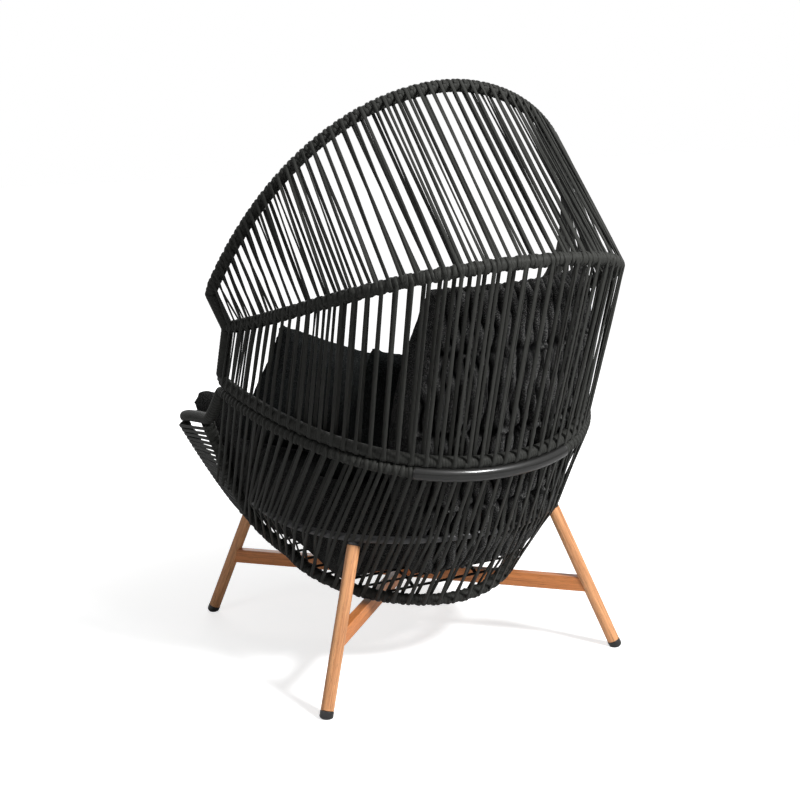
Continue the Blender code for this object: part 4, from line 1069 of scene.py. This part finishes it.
def pleats(spots, normals):
    """Upright folds: the root of |sin| of x over the pleat width, bent by slow waves.

    The valleys are narrow and the crests broad. The folds are tied down at the rows, with a knot
    at every fourth, lean over close to the top, and leave a plain border at each side.
    """
    b = BACK_SIZE
    x, z = spots[:, 0], spots[:, 2]
    share = (z - b["low"]) / (b["high"] - b["low"])
    centre, wide = back_middle(share)
    border = np.clip((wide - np.abs(x - centre) - BORDER * 0.6) / (BORDER * 0.4), 0, 1)
    row = np.searchsorted(ROWS, z)
    wander = 0.0050 * np.sin(z * 38 + x * 21 + row * 2.1) + 0.0026 * np.sin(z * 83 + x * 47 + row)
    leaning = PLEAT_LEAN * np.clip((z - b["high"] + LEAN_FROM) / LEAN_FROM, 0, 1)
    phase = (x + wander + leaning + row * ROW_SHIFT) / PLEAT * math.pi
    near = np.abs(z[:, None] - np.array(ROWS)[None]).min(axis=1)
    tied = np.exp(-(near / ROW_WIDTH) ** 2)
    fold = np.abs(np.sin(phase)) ** 0.5
    flat = np.clip(np.abs(normals[:, 1]) * 1.6, 0, 1)
    knot = np.exp(-(near / KNOT_WIDTH) ** 2) * np.clip(np.sin(phase * 0.5) * 3 - 1.6, 0, 1)
    folds = (fold - PLEAT_MEAN) * PLEAT_DEEP * (1 - PLEAT_TIED * tied)
    return (folds - ROW_DEEP * tied + KNOT * knot) * flat * border


back = stuffed("pleated_back_cushion", back_place, 0.0050, 0.010)
height = pushed(back, pleats)
# Painted shade and highlight: the crest attribute, from how far each point was pushed, darkens the
# valleys and leaves the crests pale.
crest = np.clip((height + VALLEY_SHADE_FROM) / VALLEY_SHADE_SPAN, 0.0, 1.0) ** 1.5
back.data.attributes.new("crest", "FLOAT", "POINT").data.foreach_set("value", crest)
pleated_cloth.on(back)
dress(back, "heather_fabric", "back_cushion")

# Scatter pillows: knife-edged squares in plain cloth, with drawn-in sides. One leans on the right
# arm and the other behind it; both sink a little where they rest.
PILLOW_DEPTH = 0.044
PILLOW_WAIST = 0.07
SINK = 0.018
SIDE_WALL = 0.362
CREASE = 0.0022
PILLOWS = {
    "side": (0.172, (0.1666, -0.0923, 0.5714), 0.4177, (-12.0, -22.0, -22.0)),
    "middle": (0.190, (0.0300, 0.1328, 0.5372), 0.3878, (-4.0, -24.0, -14.0))}
plain_cloth = cloth_look("charcoal plain cloth", (0.0024, 0.0030, 0.0030), (0.082, 0.088, 0.088), 0.24)


def pillow_place(half, centre, rest, angles):
    """A square turned, leant and rolled; it settles on the seat and against the side."""
    t, l, r = (math.radians(a) for a in angles)
    about_z = np.array([[math.cos(t), -math.sin(t), 0], [math.sin(t), math.cos(t), 0], [0, 0, 1]])
    about_x = np.array([[1, 0, 0], [0, math.cos(l), -math.sin(l)], [0, math.sin(l), math.cos(l)]])
    about_y = np.array([[math.cos(r), 0, math.sin(r)], [0, 1, 0], [-math.sin(r), 0, math.cos(r)]])
    axes = about_z @ about_x @ about_y

    def place(u, v):
        x = u * half * (1 - PILLOW_WAIST * (1 - v * v))
        z = v * half * (1 - PILLOW_WAIST * (1 - u * u))
        deep = PILLOW_DEPTH * (np.clip(1 - u * u, 0, 1) * np.clip(1 - v * v, 0, 1)) ** 0.62
        middle = np.stack([x, 0 * x, z], -1) @ axes.T + np.array(centre) + [0.0, SHIFT_Y, 0.0]
        middle[..., 2] = rest + SINK * np.logaddexp(0.0, (middle[..., 2] - rest) / SINK)
        middle[..., 0] = SIDE_WALL - SINK * np.logaddexp(0.0, (SIDE_WALL - middle[..., 0]) / SINK)
        return middle, np.stack([0 * x, deep, 0 * x], -1) @ axes.T

    return place


def creases(spots, normals):
    """Soft dents of a filled cover, from three crossed waves."""
    first = np.sin(spots @ (31.0, 17.0, 23.0))
    second = np.sin(spots @ (-19.0, 29.0, 37.0) + 1.3)
    third = np.sin(spots @ (57.0, -41.0, 13.0) + 0.7)
    return CREASE * (first + second + 0.6 * third) / 2.6


for which, settings in PILLOWS.items():
    pillow = stuffed(which + "_scatter_pillow", pillow_place(*settings), 0.0060, 0.008)
    pushed(pillow, creases)
    plain_cloth.on(pillow)
    dress(pillow, "plain_fabric", which + "_pillow")

# Studio: a pale floor that takes the chair's shadow, a white surround, a key lamp from the back on
# the chair's left, soft lamps overhead and in front, and a weak one at its right. The camera
# stands where the photographer's did.
FLOOR_GLOW = 0.68
FLOOR_HALF = 30
GLOW_REACH = (0.75, 1.7)
SURROUND_LIGHT = 0.06
STAND_BACK = 2.9544
STAND_HEIGHT = 1.1887
SENSOR = 36.0
FOCUS = 1303.34
PHOTO_WIDTH = 800
floor_look = Look("white studio floor", Roughness=0.9, Specular_IOR_Level=0.1,
                  Base_Color=(0.80, 0.80, 0.80), Emission_Strength=1.0)
from_middle = floor_look.node("ShaderNodeVectorMath", {"operation": "LENGTH"},
                              {0: floor_look.place()}, "Value")
faded = floor_look.node("ShaderNodeMapRange", {"interpolation_type": "SMOOTHSTEP"},
                        {0: from_middle, 1: GLOW_REACH[0], 2: GLOW_REACH[1]})
glow = floor_look.blend(faded, (FLOOR_GLOW,) * 3, (1.0, 1.0, 1.0))
seen_floor = floor_look.node("ShaderNodeLightPath", {}, {}, "Is Camera Ray")
floor_look.set("Emission Color", floor_look.blend(seen_floor, (0.0, 0.0, 0.0), glow))
floor_mesh = bpy.data.meshes.new("studio_floor")
corners = [(x * FLOOR_HALF, y * FLOOR_HALF, 0) for x, y in ((-1, -1), (1, -1), (1, 1), (-1, 1))]
floor_mesh.from_pydata(corners, [], [(0, 1, 2, 3)])
floor = placed("studio_floor", floor_mesh)
floor_look.on(floor)

surround = Look("white surround", bpy.data.worlds, "Background", Color=(1.0, 1.0, 1.0))
seen = surround.node("ShaderNodeLightPath", {}, {}, "Is Camera Ray")
glossy = surround.node("ShaderNodeLightPath", {}, {}, "Is Glossy Ray")
surround.set("Strength", surround.node("ShaderNodeMapRange", {}, {
    0: surround.node("ShaderNodeMath", {"operation": "MAXIMUM"}, {0: seen, 1: glossy}),
    "To Min": SURROUND_LIGHT, "To Max": 1.0}))
bpy.context.scene.world = surround.made


def facing(right, up, ahead, place):
    """The matrix of a lamp or camera at a place, looking ahead."""
    return Matrix([(right[k], up[k], -ahead[k], place[k]) for k in range(3)] + [(0, 0, 0, 1)])


def lamp(name, place, target, size, watts):
    """A square soft lamp that faces a point."""
    light = bpy.data.lights.new(name, "AREA")
    light.size = size
    light.energy = watts
    ahead = unit(np.array(target, float) - place)
    right = unit(np.cross(ahead, UP))
    placed(name, light).matrix_world = facing(right, np.cross(right, ahead), ahead, place)


lamp("key lamp", (-0.92, 2.36, 2.40), (0.0, 0.0, 0.55), 0.55, 135.0)
lamp("overhead soft lamp", (0.3, 0.3, 3.4), (0.0, 0.0, 0.5), 2.4, 16.0)
lamp("side soft lamp", (2.6, 0.6, 1.8), (0.0, 0.0, 0.6), 1.2, 8.0)
lamp("front soft lamp", (-0.9, -3.0, 1.9), (0.0, 0.0, 0.5), 2.0, 26.0)

yaw, pan, pitch, roll = (math.radians(a) for a in (26.395, 0.033, 11.95, -2.012))
stand = np.array([math.sin(yaw) * STAND_BACK, math.cos(yaw) * STAND_BACK + SHIFT_Y, STAND_HEIGHT])
bearing = yaw + pan
level_way = np.array([-math.sin(bearing), -math.cos(bearing), 0.0])
ahead = level_way * math.cos(pitch) - UP * math.sin(pitch)
right_way = unit(np.cross(ahead, UP))
up_way = np.cross(right_way, ahead)
right_turned = math.cos(roll) * right_way + math.sin(roll) * up_way
up_turned = -math.sin(roll) * right_way + math.cos(roll) * up_way
lens = bpy.data.cameras.new("studio camera")
lens.sensor_width = SENSOR
lens.lens = FOCUS / PHOTO_WIDTH * SENSOR
camera = placed("studio camera", lens)
camera.matrix_world = facing(right_turned, up_turned, ahead, stand)
bpy.context.scene.camera = camera
bpy.context.scene.view_settings.view_transform = "Standard"
